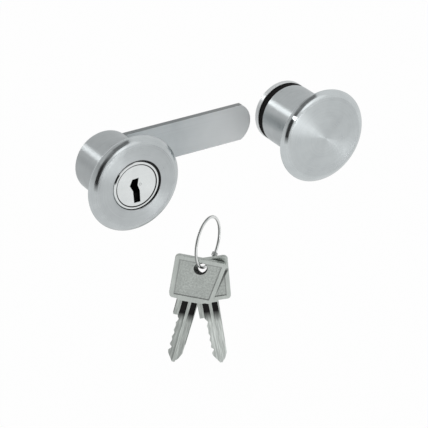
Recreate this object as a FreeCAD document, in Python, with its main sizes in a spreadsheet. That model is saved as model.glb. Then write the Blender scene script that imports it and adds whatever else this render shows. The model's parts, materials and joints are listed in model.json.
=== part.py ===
import FreeCAD, Part
import math
import os

import Sketcher
from FreeCAD import Placement, Rotation, Vector

# Cam lock for a pair of glass cupboard doors, with its matching knob and two keys on a ring.
# Millimetres, +Z up, front towards -Y. The lock's axis is the Y axis, and Y = 0 is the rear
# face of the lock's sleeve, which bears on the glass. The knob stands on the other door, at +X.

DRIVING = [
    ("flange_diameter", 40.0, "front flange of the lock and disc of the knob"),
    ("flange_thickness", 2.8, "lock flange, along the axis"),
    ("flange_edge_radius", 5.0, "flat arc of the front edge of flange and disc"),
    ("sleeve_wall", 2.7, "sleeves of lock and knob, outside their rear bore"),
    ("sleeve_length", 23.0, "lock sleeve, from the glass to the back of the flange"),
    ("rim_break", 0.3, "broken edges of head ring and tail"),
    ("mouth_countersink", 0.6, "bevel round the hole in the flange face"),
    ("ring_diameter", 20.1, "bright head ring of the cylinder"),
    ("ring_thickness", 2.4, "head ring, along the axis"),
    ("ring_setback", 0.3, "head ring behind the flange face"),
    ("barrel_diameter", 17.2, "cylinder body, threaded at its rear"),
    ("barrel_setback", 1.0, "rear end of the cylinder body in front of the glass"),
    ("plug_head_diameter", 17.5, "round face that the keyway is cut in"),
    ("plug_head_thickness", 1.6, "plug face, along the axis"),
    ("plug_setback", 0.2, "plug face behind the head ring"),
    ("barrel_wall", 1.65, "cylinder body round the turning core"),
    ("keyway_width", 2.8, "keyway, across"),
    ("keyway_top", 3.1, "keyway above the axis"),
    ("keyway_bottom", 7.3, "keyway below the axis, in the face"),
    ("keyway_throat", 4.0, "keyway below the axis, behind the face"),
    ("ward_reach", 2.9, "side bulge of the keyway, left of the axis"),
    ("wafer_thickness", 0.85, "each wafer, along the axis"),
    ("wafer_width", 5.6, "each wafer, across"),
    ("wafer_pitch", 2.5, "from wafer to wafer"),
    ("wafer_start", 4.4, "first wafer behind the plug face"),
    ("wafer_travel", 0.8, "each wafer, up or down"),
    ("spring_diameter", 1.5, "wafer spring, outside"),
    ("spring_foot", 3.1, "foot of the springs below the axis"),
    ("lug_height", 0.5, "underside of the wafers' lugs above the axis"),
    ("lug_thickness", 1.1, "lug of a wafer, up and down"),
    ("cavity_play", 0.7, "between the rear bore of a sleeve and the tube in it"),
    ("cavity_depth", 12.5, "rear bore of the lock's sleeve"),
    ("nut_thickness", 2.4, "round nut that holds the cylinder in the shell"),
    ("clip_thickness", 0.6, "snap ring on the plug"),
    ("clip_groove", 1.1, "depth of the snap ring's groove in the plug"),
    ("clip_stand", 1.0, "snap ring proud of the plug"),
    ("clip_collar", 0.4, "collar of the plug behind the snap ring"),
    ("tube_wall", 0.9, "tube that goes through the hole in the glass"),
    ("liner_wall", 0.45, "collar of the rear gasket, round the tube"),
    ("spigot_length", 10.5, "tube, in front of its flange"),
    ("clamp_inset", 1.0, "lock clamp flange inside the outline of the sleeve"),
    ("clamp_thickness", 0.75, "lock clamp flange"),
    ("clamp_wall", 1.0, "wall of the clamp in front of the cam"),
    ("gasket_recess", 0.8, "groove for the front gasket in the sleeve's rear face"),
    ("gasket_thickness", 0.5, "rear gasket of the lock"),
    ("gasket_play", 0.1, "edge of a gasket inside its groove"),
    ("gasket_stand", 0.1, "front gasket proud of the sleeve"),
    ("pane_gap", 0.1, "left between the gaskets while no glass is clamped"),
    ("pane_travel", 5.0, "thickest glass that the clamps open to"),
    ("tail_diameter", 6.0, "threaded tail of the plug"),
    ("tail_flats", 4.4, "across the two flats of the tail"),
    ("tail_length", 13.0, "tail behind the sleeve"),
    ("cam_setback", 1.8, "front of the cam behind the sleeve"),
    ("cam_width", 15.8, "cam bar"),
    ("cam_reach", 69.6, "from the lock's axis to the tip of the cam"),
    ("cam_thickness", 2.4, "cam bar"),
    ("cam_tip_radius", 9.2, "arc at the tip of the cam"),
    ("cam_edge_break", 0.25, "broken edges of the cam"),
    ("slide_washer_diameter", 14.0, "nylon washer under the cam"),
    ("tooth_washer_diameter", 11.0, "toothed washer over the cam"),
    ("tooth_washer_thickness", 0.5, "toothed washer"),
    ("cam_nut_width", 10.0, "nut behind the cam, across flats"),
    ("cam_nut_thickness", 3.0, "nut behind the cam"),
    ("knob_clearance", 3.1, "from the tip of the cam to the knob's ring"),
    ("knob_disc_thickness", 2.4, "knob disc without the rise of its face"),
    ("knob_dome", 0.7, "rise of the knob's face over its edge"),
    ("knob_sleeve_length", 23.65, "knob sleeve, from the gasket to the back of the disc"),
    ("knob_gasket_front", 2.3, "front end of the black gasket before the glass"),
    ("knob_gasket_rear", 1.0, "rear end of the black gasket behind the glass"),
    ("knob_cavity_depth", 12.2, "rear bore of the knob, from the glass"),
    ("knob_ring_thickness", 2.3, "ring behind the glass"),
    ("knob_tube_wall", 1.2, "tube of that ring, and the wall in it"),
    ("screw_diameter", 6.0, "screw that draws the ring to the knob"),
    ("screw_reach", 19.0, "screw in front of the glass"),
    ("screw_head_diameter", 11.6, "countersunk head"),
    ("screw_socket_width", 4.0, "hexagon socket, across flats"),
    ("key_thickness", 2.0, "key blank"),
    ("bow_width", 21.4, "grip of the key at its top"),
    ("bow_foot_width", 18.1, "grip of the key at its foot"),
    ("bow_top", 3.9, "top of the grip above the ring's wire"),
    ("bow_foot", 15.7, "foot of the grip below the ring's wire"),
    ("bow_corner", 1.7, "rounded corners of the grip"),
    ("bow_rim", 1.7, "raised rim round the blank panel"),
    ("panel_depth", 0.25, "blank panel, each side"),
    ("bow_hole", 5.4, "hole for the ring"),
    ("hole_drop", 0.4, "centre of that hole below the wire"),
    ("blade_width", 6.7, "key blade"),
    ("blade_end", 45.7, "tip of the key below the wire"),
    ("tip_bevel", 4.2, "slanted end of the blade, up from the tip"),
    ("groove_depth", 0.5, "milled grooves of the blade, each side"),
    ("rib_width", 1.3, "rib between the grooves"),
    ("groove_width", 2.4, "each milled groove"),
    ("groove_start", 0.7, "top of the grooves below the grip"),
    ("blade_shift", 0.35, "middle of the blade beside the hole, towards the cuts"),
    ("blade_taper", 0.6, "blade narrower at its tip, on the uncut side"),
    ("cut_start", 25.9, "first cut below the wire"),
    ("cut_pitch", 3.4, "from cut to cut"),
    ("stop_width", 2.2, "stop tab beside the neck"),
    ("stop_end", 23.3, "foot of the stop tab below the wire"),
    ("wire_diameter", 1.2, "wire of the ring"),
    ("hoop_radius", 10.6, "ring, to the middle of its wire"),
    ("key_gap", 1.0, "between the two keys, at the ring"),
    ("ring_x", 40.4, "middle of the ring, to the right of the lock's axis"),
    ("ring_y", -12.0, "middle of the ring, behind the rear face of the sleeve"),
    ("ring_z", -42.4, "middle of the ring, above the lock's axis"),
    ("fit", 0.05, "radial clearance of close fits"),
    ("room", 0.3, "clearance of parts that pass each other"),
]
DOCUMENT_NAME = "GlassDoorCamLock"
SHEET_NAME = "Dims"
WAFER_CODES = (0.0, 0.35, 0.15, 0.5, 0.25)
KEY_CUTS = (0.7, 0.3, 0.55, 0.4, 1.0)
# Angles in degrees: turns are about the upright, places on the ring are counted from its
# right-hand side, and a key's tilt takes its tip to the left
RING_TURN = 31.5
KEY_TURNS = (-28.0, -32.0)
KEYS_ON_RING = -116.0
CLASP_ON_RING = -55.0
KEY_TILTS = (14.2, -9.5)
# Flats turned along the round front edges, along half of the knob's dome, and round the wire
EDGE_STEPS = 3
DOME_STEPS = 2
WIRE_SIDES = 8


class Size:
    """A size with its present number and the sheet formula that it is bound to."""

    def __init__(self, number, formula):
        self.number = number
        self.formula = formula

    def __add__(self, other):
        other = as_size(other)
        return Size(self.number + other.number, f"({self.formula} + {other.formula})")

    def __sub__(self, other):
        other = as_size(other)
        return Size(self.number - other.number, f"({self.formula} - {other.formula})")

    def __mul__(self, factor):
        factor = as_size(factor)
        return Size(self.number * factor.number, f"({self.formula} * {factor.formula})")

    def __truediv__(self, divisor):
        return Size(self.number / divisor, f"({self.formula} / {divisor})")

    def __neg__(self):
        return Size(-self.number, f"(0 - {self.formula})")


def root(size):
    """Square root of a Size."""
    return Size(math.sqrt(size.number), f"sqrt({size.formula})")


def as_size(value):
    """A plain number as a Size; a Size stays as it is."""
    return value if isinstance(value, Size) else Size(float(value), f"{float(value):.6g}")


def fill_sheet(document):
    """Writes the driving dimensions to the sheet and gives them back by name."""
    sheet = document.addObject("Spreadsheet::Sheet", SHEET_NAME)
    sizes = {}
    for row, (name, number, meaning) in enumerate(DRIVING, start=1):
        sheet.set(f"A{row}", meaning)
        sheet.set(f"B{row}", str(number))
        sheet.setAlias(f"B{row}", name)
        sizes[name] = Size(number, f"{SHEET_NAME}.{name}")
    document.recompute()
    return sizes


doc = FreeCAD.newDocument(DOCUMENT_NAME)
dim = fill_sheet(doc)
AXIS = as_size(0.0)
nodes = []


def bind(feature, prop, value):
    """Ties one property of a feature to the sheet."""
    feature.setExpression(prop, as_size(value).formula)


def new_body(label, at_knob=False):
    """An empty body; a knob part stands on the knob's axis."""
    body = doc.addObject("PartDesign::Body", label)
    body.Label = label
    if at_knob:
        body.Placement = Placement(Vector(knob_spacing.number, 0, 0), Rotation())
        bind(body, "Placement.Base.x", knob_spacing)
    nodes.append(body)
    return body


def origin_item(body, role):
    """A plane or an axis of the body's own origin."""
    return next(item for item in body.Origin.OriginFeatures if item.Role == role)


def new_sketch(body, plane, height=None):
    """A sketch on an origin plane; height moves an XZ sketch along +Y, an XY one along +Z."""
    sketch = body.newObject("Sketcher::SketchObject", f"{body.Name}_sketch")
    sketch.AttachmentSupport = [(origin_item(body, plane), "")]
    sketch.MapMode = "FlatFace"
    if height is not None:
        height = -height if plane == "XZ_Plane" else height
        sketch.AttachmentOffset = Placement(Vector(0, 0, height.number), Rotation())
        bind(sketch, "AttachmentOffset.Base.z", height)
    return sketch


def bind_constraint(sketch, kind, geometry, point, value):
    """One driving distance of a sketch, tied to the sheet."""
    if abs(value.number) < 1e-9 and kind != "Radius":
        axis = -2 if kind == "DistanceX" else -1
        sketch.addConstraint(Sketcher.Constraint("PointOnObject", geometry, point, axis))
        return
    arguments = (geometry, value.number) if kind == "Radius" else (geometry, point, value.number)
    index = sketch.addConstraint(Sketcher.Constraint(kind, *arguments))
    sketch.setExpression(f"Constraints[{index}]", value.formula)


def arc_between(start, end, radius):
    """Arc from start to end; a positive radius bulges to the right of the way from start to end."""
    chord = end.sub(start)
    middle = start.add(end).multiply(0.5)
    left = Vector(-chord.y, chord.x, 0).normalize()
    depth = math.sqrt(max(radius * radius - chord.Length * chord.Length / 4, 0.0))
    centre = middle.add(left.multiply(depth if radius > 0 else -depth))
    angles = [math.atan2(p.y - centre.y, p.x - centre.x) for p in (start, end)]
    if radius < 0:
        angles.reverse()
    circle = Part.Circle(centre, Vector(0, 0, 1), abs(radius))
    return Part.ArcOfCircle(circle, angles[0], angles[1])


def draw_outline(sketch, corners, arcs=None):
    """Closed outline; arcs gives the radius of the side that starts at a corner, by its number."""
    arcs = arcs or {}
    corners = [(as_size(across), as_size(along)) for across, along in corners]
    points = [Vector(across.number, along.number, 0) for across, along in corners]
    starts = []
    ends = []
    for number, start in enumerate(points):
        end = points[(number + 1) % len(points)]
        radius = arcs.get(number)
        side = Part.LineSegment(start, end) if radius is None else arc_between(start, end, radius.number)
        index = sketch.addGeometry(side, False)
        turned_round = radius is not None and radius.number < 0
        starts.append((index, 2 if turned_round else 1))
        ends.append((index, 1 if turned_round else 2))
    for number, (across, along) in enumerate(corners):
        sketch.addConstraint(Sketcher.Constraint("Coincident", *ends[number - 1], *starts[number]))
        bind_constraint(sketch, "DistanceX", *starts[number], across)
        bind_constraint(sketch, "DistanceY", *starts[number], along)
    for number, radius in arcs.items():
        size = radius if radius.number > 0 else -radius
        bind_constraint(sketch, "Radius", starts[number][0], None, size)


def draw_circle(sketch, across, along, radius):
    """A whole circle with its centre at a bound place."""
    across, along = as_size(across), as_size(along)
    circle = Part.Circle(Vector(across.number, along.number, 0), Vector(0, 0, 1), radius.number)
    index = sketch.addGeometry(circle, False)
    bind_constraint(sketch, "DistanceX", index, 3, across)
    bind_constraint(sketch, "DistanceY", index, 3, along)
    bind_constraint(sketch, "Radius", index, None, radius)


def turn(body, corners, arcs=None):
    """Solid of revolution about the body's Y axis from an outline of (radius, y) corners."""
    sketch = new_sketch(body, "XY_Plane")
    draw_outline(sketch, corners, arcs)
    feature = body.newObject("PartDesign::Revolution", f"{body.Name}_turned")
    feature.Profile = sketch
    feature.ReferenceAxis = (sketch, ["V_Axis"])
    feature.Angle = 360.0
    doc.recompute()
    return feature


def ring(label, inner, outer, front, rear, at_knob=False):
    """Plain turned ring from front to rear along Y."""
    body = new_body(label, at_knob)
    turn(body, [(inner, front), (outer, front), (outer, rear), (inner, rear)])
    return body


def pad(body, sketch, depth):
    """Adds material from the sketch towards +Y, or +Z from an XY sketch."""
    feature = body.newObject("PartDesign::Pad", f"{body.Name}_pad")
    feature.Profile = sketch
    feature.Reversed = sketch.AttachmentSupport[0][0].Role == "XZ_Plane"
    bind(feature, "Length", depth)
    doc.recompute()
    return feature


def pocket(body, sketch, depth, backwards=False):
    """Cuts from the sketch towards +Y, or +Z from an XY sketch; backwards cuts the other way."""
    before = body.Shape.Volume
    feature = body.newObject("PartDesign::Pocket", f"{body.Name}_cut")
    feature.Profile = sketch
    feature.Reversed = (sketch.AttachmentSupport[0][0].Role == "XY_Plane") != backwards
    bind(feature, "Length", depth)
    doc.recompute()
    if not body.Shape.Volume < before:
        raise RuntimeError(f"{body.Label}: {feature.Name} cuts nothing")
    return feature


def repeat_round(body, feature, count):
    """Copies a cut evenly about the body's Y axis."""
    pattern = body.newObject("PartDesign::PolarPattern", f"{body.Name}_round")
    pattern.Originals = [feature]
    pattern.Axis = (origin_item(body, "Y_Axis"), [""])
    pattern.Angle = 360.0
    pattern.Occurrences = count
    body.Tip = pattern
    doc.recompute()
    return pattern


def repeat_along(body, feature, pitch, count):
    """Copies a cut along the body's Y axis."""
    pattern = body.newObject("PartDesign::LinearPattern", f"{body.Name}_row")
    pattern.Originals = [feature]
    pattern.Direction = (origin_item(body, "Y_Axis"), [""])
    pattern.Occurrences = count
    bind(pattern, "Length", pitch * (count - 1))
    body.Tip = pattern
    doc.recompute()
    return pattern


def circle_edges(shape, radius, along):
    """Names of the edges that run round the Y axis at one radius and one y."""
    found = []
    for number, edge in enumerate(shape.Edges, start=1):
        if edge.Degenerated or not isinstance(edge.Curve, Part.Circle):
            continue
        curve = edge.Curve
        if abs(curve.Radius - radius.number) < 1e-4 and abs(curve.Center.y - along.number) < 1e-4:
            found.append(f"Edge{number}")
    return found


def dress(body, kind, size, edges):
    """Fillet or Chamfer on named edges of the body's last feature."""
    base = body.Tip
    feature = body.newObject(f"PartDesign::{kind}", f"{body.Name}_{kind.lower()}")
    feature.Base = (base, edges)
    bind(feature, "Radius" if kind == "Fillet" else "Size", size)
    doc.recompute()
    return feature


def dress_round(body, kind, size, radius, along):
    """Fillet or Chamfer on the edges that run round the axis at one radius and one y."""
    return dress(body, kind, size, circle_edges(body.Tip.Shape, as_size(radius), as_size(along)))


def rectangle(left, right, low, high):
    """Corners of a rectangle for draw_outline."""
    return [(left, low), (right, low), (right, high), (left, high)]


# Places along the axis and radii that several pieces of the lock share
flange_radius = dim["flange_diameter"] / 2
ring_radius = dim["ring_diameter"] / 2
barrel_radius = dim["barrel_diameter"] / 2
plug_radius = barrel_radius - dim["barrel_wall"]
plug_head_radius = dim["plug_head_diameter"] / 2
spigot_bore = barrel_radius + dim["fit"] * 2
spigot_radius = spigot_bore + dim["tube_wall"]
liner_radius = spigot_radius + dim["fit"] + dim["liner_wall"]
cavity_radius = spigot_radius + dim["cavity_play"]
sleeve_radius = cavity_radius + dim["sleeve_wall"]
clamp_radius = sleeve_radius - dim["clamp_inset"]
tail_radius = dim["tail_diameter"] / 2
knob_spacing = dim["cam_reach"] + dim["knob_clearance"] + sleeve_radius
flange_back = -dim["sleeve_length"]
face = flange_back - dim["flange_thickness"]
ring_front = face + dim["ring_setback"]
ring_seat = ring_front + dim["ring_thickness"]
plug_face = ring_front + dim["plug_setback"]
plug_shoulder = plug_face + dim["plug_head_thickness"]
barrel_rear = -dim["barrel_setback"]
cavity_floor = -dim["cavity_depth"]
gasket_radius = clamp_radius - dim["gasket_play"]
gasket_bore_radius = cavity_radius + dim["gasket_play"]
rear_gasket_front = dim["gasket_stand"] + dim["pane_gap"]
clamp_front = rear_gasket_front + dim["gasket_thickness"]
clamp_rear = clamp_front + dim["clamp_thickness"]
cam_front = dim["cam_setback"]
cam_rear = cam_front + dim["cam_thickness"]
clip_front = barrel_rear + dim["fit"]
clip_rear = clip_front + dim["clip_thickness"]
groove_radius = plug_radius - dim["clip_groove"]


def edge_run(thickness):
    """How far the front edge's arc reaches in from the rim; it starts level with the face."""
    arc = dim["flange_edge_radius"]
    return root(arc * thickness * 2 - thickness * thickness)


def arc_corners(inner, front, arc, run, steps):
    """Corners on an arc that starts level with front at inner and reaches out by run."""
    sweep = math.asin(run.number / arc.number)
    sweep_formula = f"asin({run.formula} / {arc.formula})"
    corners = []
    for step in range(steps + 1):
        share = step / steps
        angle = f"{share:.6g} * {sweep_formula}"
        across = Size(arc.number * math.sin(sweep * share), f"({arc.formula} * sin({angle}))")
        along = Size(arc.number * math.cos(sweep * share), f"({arc.formula} * cos({angle}))")
        corners.append((inner + across, front + arc - along))
    return corners


def make_lock_shell():
    """Turned shell: flange, sleeve, bore for the cylinder, rear bore and gasket groove."""
    body = new_body("lock_shell")
    mouth_radius = ring_radius + dim["fit"]
    bore_radius = barrel_radius + dim["fit"]
    recess_floor = -dim["gasket_recess"]
    run = edge_run(dim["flange_thickness"])
    turn(body, [
        (bore_radius, cavity_floor), (bore_radius, ring_seat),
        (mouth_radius, ring_seat), (mouth_radius, face),
        *arc_corners(flange_radius - run, face, dim["flange_edge_radius"], run, EDGE_STEPS),
        (sleeve_radius, flange_back), (sleeve_radius, AXIS),
        (clamp_radius, AXIS), (clamp_radius, recess_floor),
        (cavity_radius, recess_floor), (cavity_radius, cavity_floor),
    ])
    dress_round(body, "Chamfer", dim["mouth_countersink"], mouth_radius, face)


def make_barrel():
    """Cylinder body: head ring, threaded rear end, bore with four wafer slots."""
    body = new_body("barrel")
    pocket_radius = plug_head_radius + dim["fit"]
    bore_radius = plug_radius + dim["fit"]
    turn(body, [
        (bore_radius, plug_shoulder + dim["fit"]), (pocket_radius, plug_shoulder + dim["fit"]),
        (pocket_radius, ring_front), (ring_radius, ring_front),
        (ring_radius, ring_seat), (barrel_radius, ring_seat),
        (barrel_radius, barrel_rear), (bore_radius, barrel_rear),
    ])
    dress_round(body, "Chamfer", dim["rim_break"], ring_radius, ring_front)
    half_slot = dim["wafer_width"] / 2 + dim["fit"] * 3
    first_wafer = plug_face + dim["wafer_start"]
    slot_start = first_wafer - dim["room"]
    slot_end = first_wafer + dim["wafer_pitch"] * 4 + dim["wafer_thickness"] + dim["room"]
    sketch = new_sketch(body, "XY_Plane")
    draw_outline(sketch, rectangle(-half_slot, half_slot, slot_start, slot_end))
    slot = pocket(body, sketch, plug_radius + dim["wafer_travel"] + dim["fit"] * 2)
    repeat_round(body, slot, 4)


def make_barrel_nut():
    """Round slotted nut on the cylinder's thread, against the floor of the rear bore."""
    body = new_body("barrel_nut")
    inner = barrel_radius + dim["fit"]
    outer = cavity_radius - dim["room"]
    rear = cavity_floor + dim["nut_thickness"]
    turn(body, [(inner, cavity_floor), (outer, cavity_floor), (outer, rear), (inner, rear)])
    sketch = new_sketch(body, "XZ_Plane", rear - dim["nut_thickness"] / 2)
    draw_outline(sketch, rectangle(as_size(-1.0), as_size(1.0), barrel_radius, cavity_radius))
    repeat_round(body, pocket(body, sketch, dim["nut_thickness"] / 2), 4)


def keyway_corners(bottom):
    """Keyway outline in the plug's face, round its side ward; z is counted up."""
    right = dim["keyway_width"] * 0.6
    left = right - dim["keyway_width"]
    top = dim["keyway_top"]
    reach = dim["ward_reach"]
    return [
        (left, -bottom), (right, -bottom), (right - 0.2, top * -0.8), (right - 1.1, top * 0.0),
        (right - 0.6, top), (reach * -0.6, top * 0.93), (-reach, top * 0.13), (left - 0.4, top * -0.7),
    ]


def make_plug():
    """Turning core: face with the keyway, wafer slots, snap ring groove and flatted tail."""
    body = new_body("plug")
    collar_front = clip_rear + dim["fit"]
    collar_rear = collar_front + dim["clip_collar"]
    tail_end = dim["tail_length"]
    turn(body, [
        (AXIS, plug_face), (plug_head_radius, plug_face),
        (plug_head_radius, plug_shoulder), (plug_radius, plug_shoulder),
        (plug_radius, barrel_rear), (groove_radius, barrel_rear),
        (groove_radius, collar_front), (plug_radius, collar_front),
        (plug_radius, collar_rear), (tail_radius, collar_rear),
        (tail_radius, tail_end), (AXIS, tail_end),
    ])
    dress_round(body, "Chamfer", dim["rim_break"] * 2, tail_radius, tail_end)
    face_keyway = new_sketch(body, "XZ_Plane", plug_face)
    draw_outline(face_keyway, keyway_corners(dim["keyway_bottom"]))
    pocket(body, face_keyway, dim["plug_head_thickness"])
    throat = new_sketch(body, "XZ_Plane", plug_shoulder)
    half = dim["keyway_width"] / 2
    draw_outline(throat, rectangle(half * -1.3, half * 1.1, -dim["keyway_throat"], dim["keyway_top"]))
    pocket(body, throat, barrel_rear - plug_shoulder - 1.5)
    # Wafer slots go right through the core; the pockets beside them hold the springs
    start = plug_face + dim["wafer_start"] - dim["fit"]
    slot = new_sketch(body, "XZ_Plane", start)
    half_slot = dim["wafer_width"] / 2 + dim["fit"]
    draw_outline(slot, rectangle(-half_slot, half_slot, -plug_radius - 1, plug_radius + 1))
    first_slot = pocket(body, slot, dim["wafer_thickness"] + dim["fit"] * 2)
    repeat_along(body, first_slot, dim["wafer_pitch"], 5)
    lug_top = dim["lug_height"] + dim["lug_thickness"] + dim["wafer_travel"] + dim["room"]
    side = new_sketch(body, "XZ_Plane", spring_front())
    draw_outline(side, rectangle(half_slot, lug_right() + dim["fit"] * 2, -dim["spring_foot"], lug_top))
    first_side = pocket(body, side, dim["spring_diameter"] + dim["fit"] * 2)
    repeat_along(body, first_side, dim["wafer_pitch"], 5)
    for sign in (1, -1):
        flat = new_sketch(body, "XZ_Plane", collar_rear)
        inner, outer = dim["tail_flats"] / 2, tail_radius + 1
        across = (inner, outer) if sign > 0 else (-outer, -inner)
        draw_outline(flat, rectangle(*across, -tail_radius - 1, tail_radius + 1))
        pocket(body, flat, tail_end - collar_rear)


def spring_front():
    """Front side of the first spring pocket, centred on the first wafer."""
    middle = plug_face + dim["wafer_start"] + dim["wafer_thickness"] / 2
    return middle - dim["spring_diameter"] / 2 - dim["fit"]


def lug_right():
    """Outer side of the lug that each wafer rests on its spring with."""
    return dim["wafer_width"] / 2 + dim["spring_diameter"]


def make_wafer(number, code):
    """One wafer: flat plate with a window for the key and a lug for its spring."""
    name = f"wafer_{number}"
    front = plug_face + dim["wafer_start"] + dim["wafer_pitch"] * (number - 1)
    reach = plug_radius - dim["fit"] * 2
    round_blank = doc.addObject("Part::Cylinder", f"{name}_round")
    round_blank.Placement = Placement(Vector(0, front.number, 0), Rotation(Vector(1, 0, 0), -90))
    bind(round_blank, "Placement.Base.y", front)
    bind(round_blank, "Radius", reach)
    bind(round_blank, "Height", dim["wafer_thickness"])
    plate = upright_box(f"{name}_plate", front, dim["wafer_thickness"],
                        -dim["wafer_width"] / 2, dim["wafer_width"] / 2, -reach, reach)
    blank = doc.addObject("Part::MultiCommon", f"{name}_blank")
    blank.Shapes = [round_blank, plate]
    lug = upright_box(f"{name}_lug", front, dim["wafer_thickness"],
                      dim["wafer_width"] / 2 - 1, lug_right(), dim["lug_height"],
                      dim["lug_height"] + dim["lug_thickness"])
    whole = doc.addObject("Part::MultiFuse", f"{name}_whole")
    whole.Shapes = [blank, lug]
    half = dim["keyway_width"] / 2
    window = upright_box(f"{name}_window", front - 1, dim["wafer_thickness"] + 2,
                         half * -1.45, half * 1.25,
                         as_size(code) - dim["keyway_throat"] - 0.6, dim["keyway_top"] + 0.4 + code / 2)
    wafer = doc.addObject("Part::Cut", name)
    wafer.Label = name
    wafer.Base = whole
    wafer.Tool = window
    nodes.append(wafer)


def upright_box(name, front, depth, left, right, low, high):
    """Box between bound sides; front is its low y."""
    front, left, right = as_size(front), as_size(left), as_size(right)
    low, high = as_size(low), as_size(high)
    box = doc.addObject("Part::Box", name)
    box.Placement = Placement(Vector(left.number, front.number, low.number), Rotation())
    bind(box, "Placement.Base.x", left)
    bind(box, "Placement.Base.y", front)
    bind(box, "Placement.Base.z", low)
    bind(box, "Length", right - left)
    bind(box, "Width", depth)
    bind(box, "Height", high - low)
    return box


def make_wafer_springs():
    """Five small springs under the wafers' lugs, drawn as the closed cylinders that they fill."""
    across = dim["wafer_width"] / 2 + dim["spring_diameter"] / 2 + dim["fit"]
    low = dim["fit"] - dim["spring_foot"]
    springs = []
    for number in range(5):
        along = plug_face + dim["wafer_start"] + dim["wafer_thickness"] / 2 + dim["wafer_pitch"] * number
        spring = doc.addObject("Part::Cylinder", f"spring_{number + 1}")
        bind(spring, "Placement.Base.x", across)
        bind(spring, "Placement.Base.y", along)
        bind(spring, "Placement.Base.z", low)
        bind(spring, "Radius", dim["spring_diameter"] / 2 - dim["fit"])
        bind(spring, "Height", dim["lug_height"] - low - dim["fit"])
        springs.append(spring)
    group = doc.addObject("Part::Compound", "wafer_springs")
    group.Label = "wafer_springs"
    group.Links = springs
    nodes.append(group)


def make_retaining_clip():
    """Open snap ring in the plug's groove, behind the cylinder body."""
    body = new_body("retaining_clip")
    inner = groove_radius + dim["fit"]
    outer = plug_radius + dim["clip_stand"]
    turn(body, [(inner, clip_front), (outer, clip_front), (outer, clip_rear), (inner, clip_rear)])
    mouth = new_sketch(body, "XZ_Plane", clip_front)
    half = plug_radius * 0.5
    draw_outline(mouth, rectangle(-half, half, -outer - 1, AXIS))
    pocket(body, mouth, dim["clip_thickness"])


def make_clamp_bush():
    """Tube on the cylinder's thread, through the glass, with a flange and a wall behind it."""
    body = new_body("clamp_bush")
    inner = spigot_bore
    wall_front = clamp_rear - dim["clamp_wall"]
    tail_hole = tail_radius + dim["room"]
    front = clamp_front - dim["spigot_length"]
    turn(body, [
        (inner, front), (spigot_radius, front), (spigot_radius, clamp_front),
        (clamp_radius, clamp_front), (clamp_radius, clamp_rear),
        (tail_hole, clamp_rear), (tail_hole, wall_front), (inner, wall_front),
    ])


def collared_gasket(label, outer, front, rear, at_knob=False):
    """Gasket behind the glass with a thin collar that lines the hole in it."""
    body = new_body(label, at_knob)
    inner = spigot_radius + dim["fit"]
    collar_front = rear - dim["pane_travel"]
    turn(body, [
        (inner, collar_front), (liner_radius, collar_front), (liner_radius, front),
        (outer, front), (outer, rear), (inner, rear),
    ])


def make_lock_gaskets():
    """Rubber ring before the glass, and the collared one behind it."""
    ring("lock_front_gasket", gasket_bore_radius, gasket_radius, -dim["gasket_recess"], dim["gasket_stand"])
    collared_gasket("lock_rear_gasket", gasket_radius, rear_gasket_front, clamp_front)


def make_cam():
    """Flat bar with a round pivot end, a shallow arc at its tip and a flatted hole."""
    body = new_body("cam")
    half = dim["cam_width"] / 2
    tip_radius = dim["cam_tip_radius"]
    sagitta = tip_radius.number - math.sqrt(tip_radius.number ** 2 - half.number ** 2)
    corner = dim["cam_reach"] - as_size(sagitta)
    corner.formula = (f"({dim['cam_reach'].formula} - {tip_radius.formula}"
                      f" + sqrt({tip_radius.formula} ^ 2 - {half.formula} ^ 2))")
    sketch = new_sketch(body, "XZ_Plane", cam_front)
    draw_outline(sketch, [(AXIS, -half), (corner, -half), (corner, half), (AXIS, half)], {1: tip_radius})
    pad(body, sketch, dim["cam_thickness"])
    pivot_end = new_sketch(body, "XZ_Plane", cam_front)
    draw_circle(pivot_end, AXIS, AXIS, half)
    pad(body, pivot_end, dim["cam_thickness"])
    hole = new_sketch(body, "XZ_Plane", cam_front)
    flat = dim["tail_flats"] / 2 + dim["fit"]
    bore = tail_radius + dim["fit"]
    rise = math.sqrt(bore.number ** 2 - flat.number ** 2)
    high = Size(rise, f"sqrt({bore.formula} ^ 2 - {flat.formula} ^ 2)")
    draw_outline(hole, [(-flat, -high), (flat, -high), (flat, high), (-flat, high)], {0: bore, 2: bore})
    pocket(body, hole, dim["cam_thickness"])
    outer_edges = []
    for number, edge in enumerate(body.Tip.Shape.Edges, start=1):
        flat_edge = edge.BoundBox.YLength < 1e-6
        reach = max(abs(vertex.Point.z) for vertex in edge.Vertexes)
        if flat_edge and reach > half.number - 1e-3:
            outer_edges.append(f"Edge{number}")
    dress(body, "Chamfer", dim["cam_edge_break"], outer_edges)


def make_cam_fasteners():
    """Nylon washer under the cam, toothed washer and nut over it."""
    hole = tail_radius + dim["fit"] * 3
    ring("slide_washer", hole, dim["slide_washer_diameter"] / 2, clamp_rear + dim["fit"], cam_front)
    washer = ring("tooth_washer", hole, dim["tooth_washer_diameter"] / 2,
                  cam_rear, cam_rear + dim["tooth_washer_thickness"])
    notch = new_sketch(washer, "XZ_Plane", cam_rear)
    outer = dim["tooth_washer_diameter"] / 2
    draw_outline(notch, rectangle(as_size(-0.7), as_size(0.7), outer - 1.2, outer + 1))
    repeat_round(washer, pocket(washer, notch, dim["tooth_washer_thickness"]), 8)
    make_hexagon_nut(cam_rear + dim["tooth_washer_thickness"])


def hexagon_prism(name, front, depth, width, shift):
    """Six-sided prism along Y from its width across flats; shift moves it along X."""
    prism = doc.addObject("Part::Prism", name)
    prism.Polygon = 6
    prism.Placement = Placement(Vector(shift.number, front.number, 0), Rotation(Vector(1, 0, 0), -90))
    bind(prism, "Placement.Base.x", shift)
    bind(prism, "Placement.Base.y", front)
    bind(prism, "Circumradius", width / math.sqrt(3))
    bind(prism, "Height", depth)
    return prism


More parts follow.
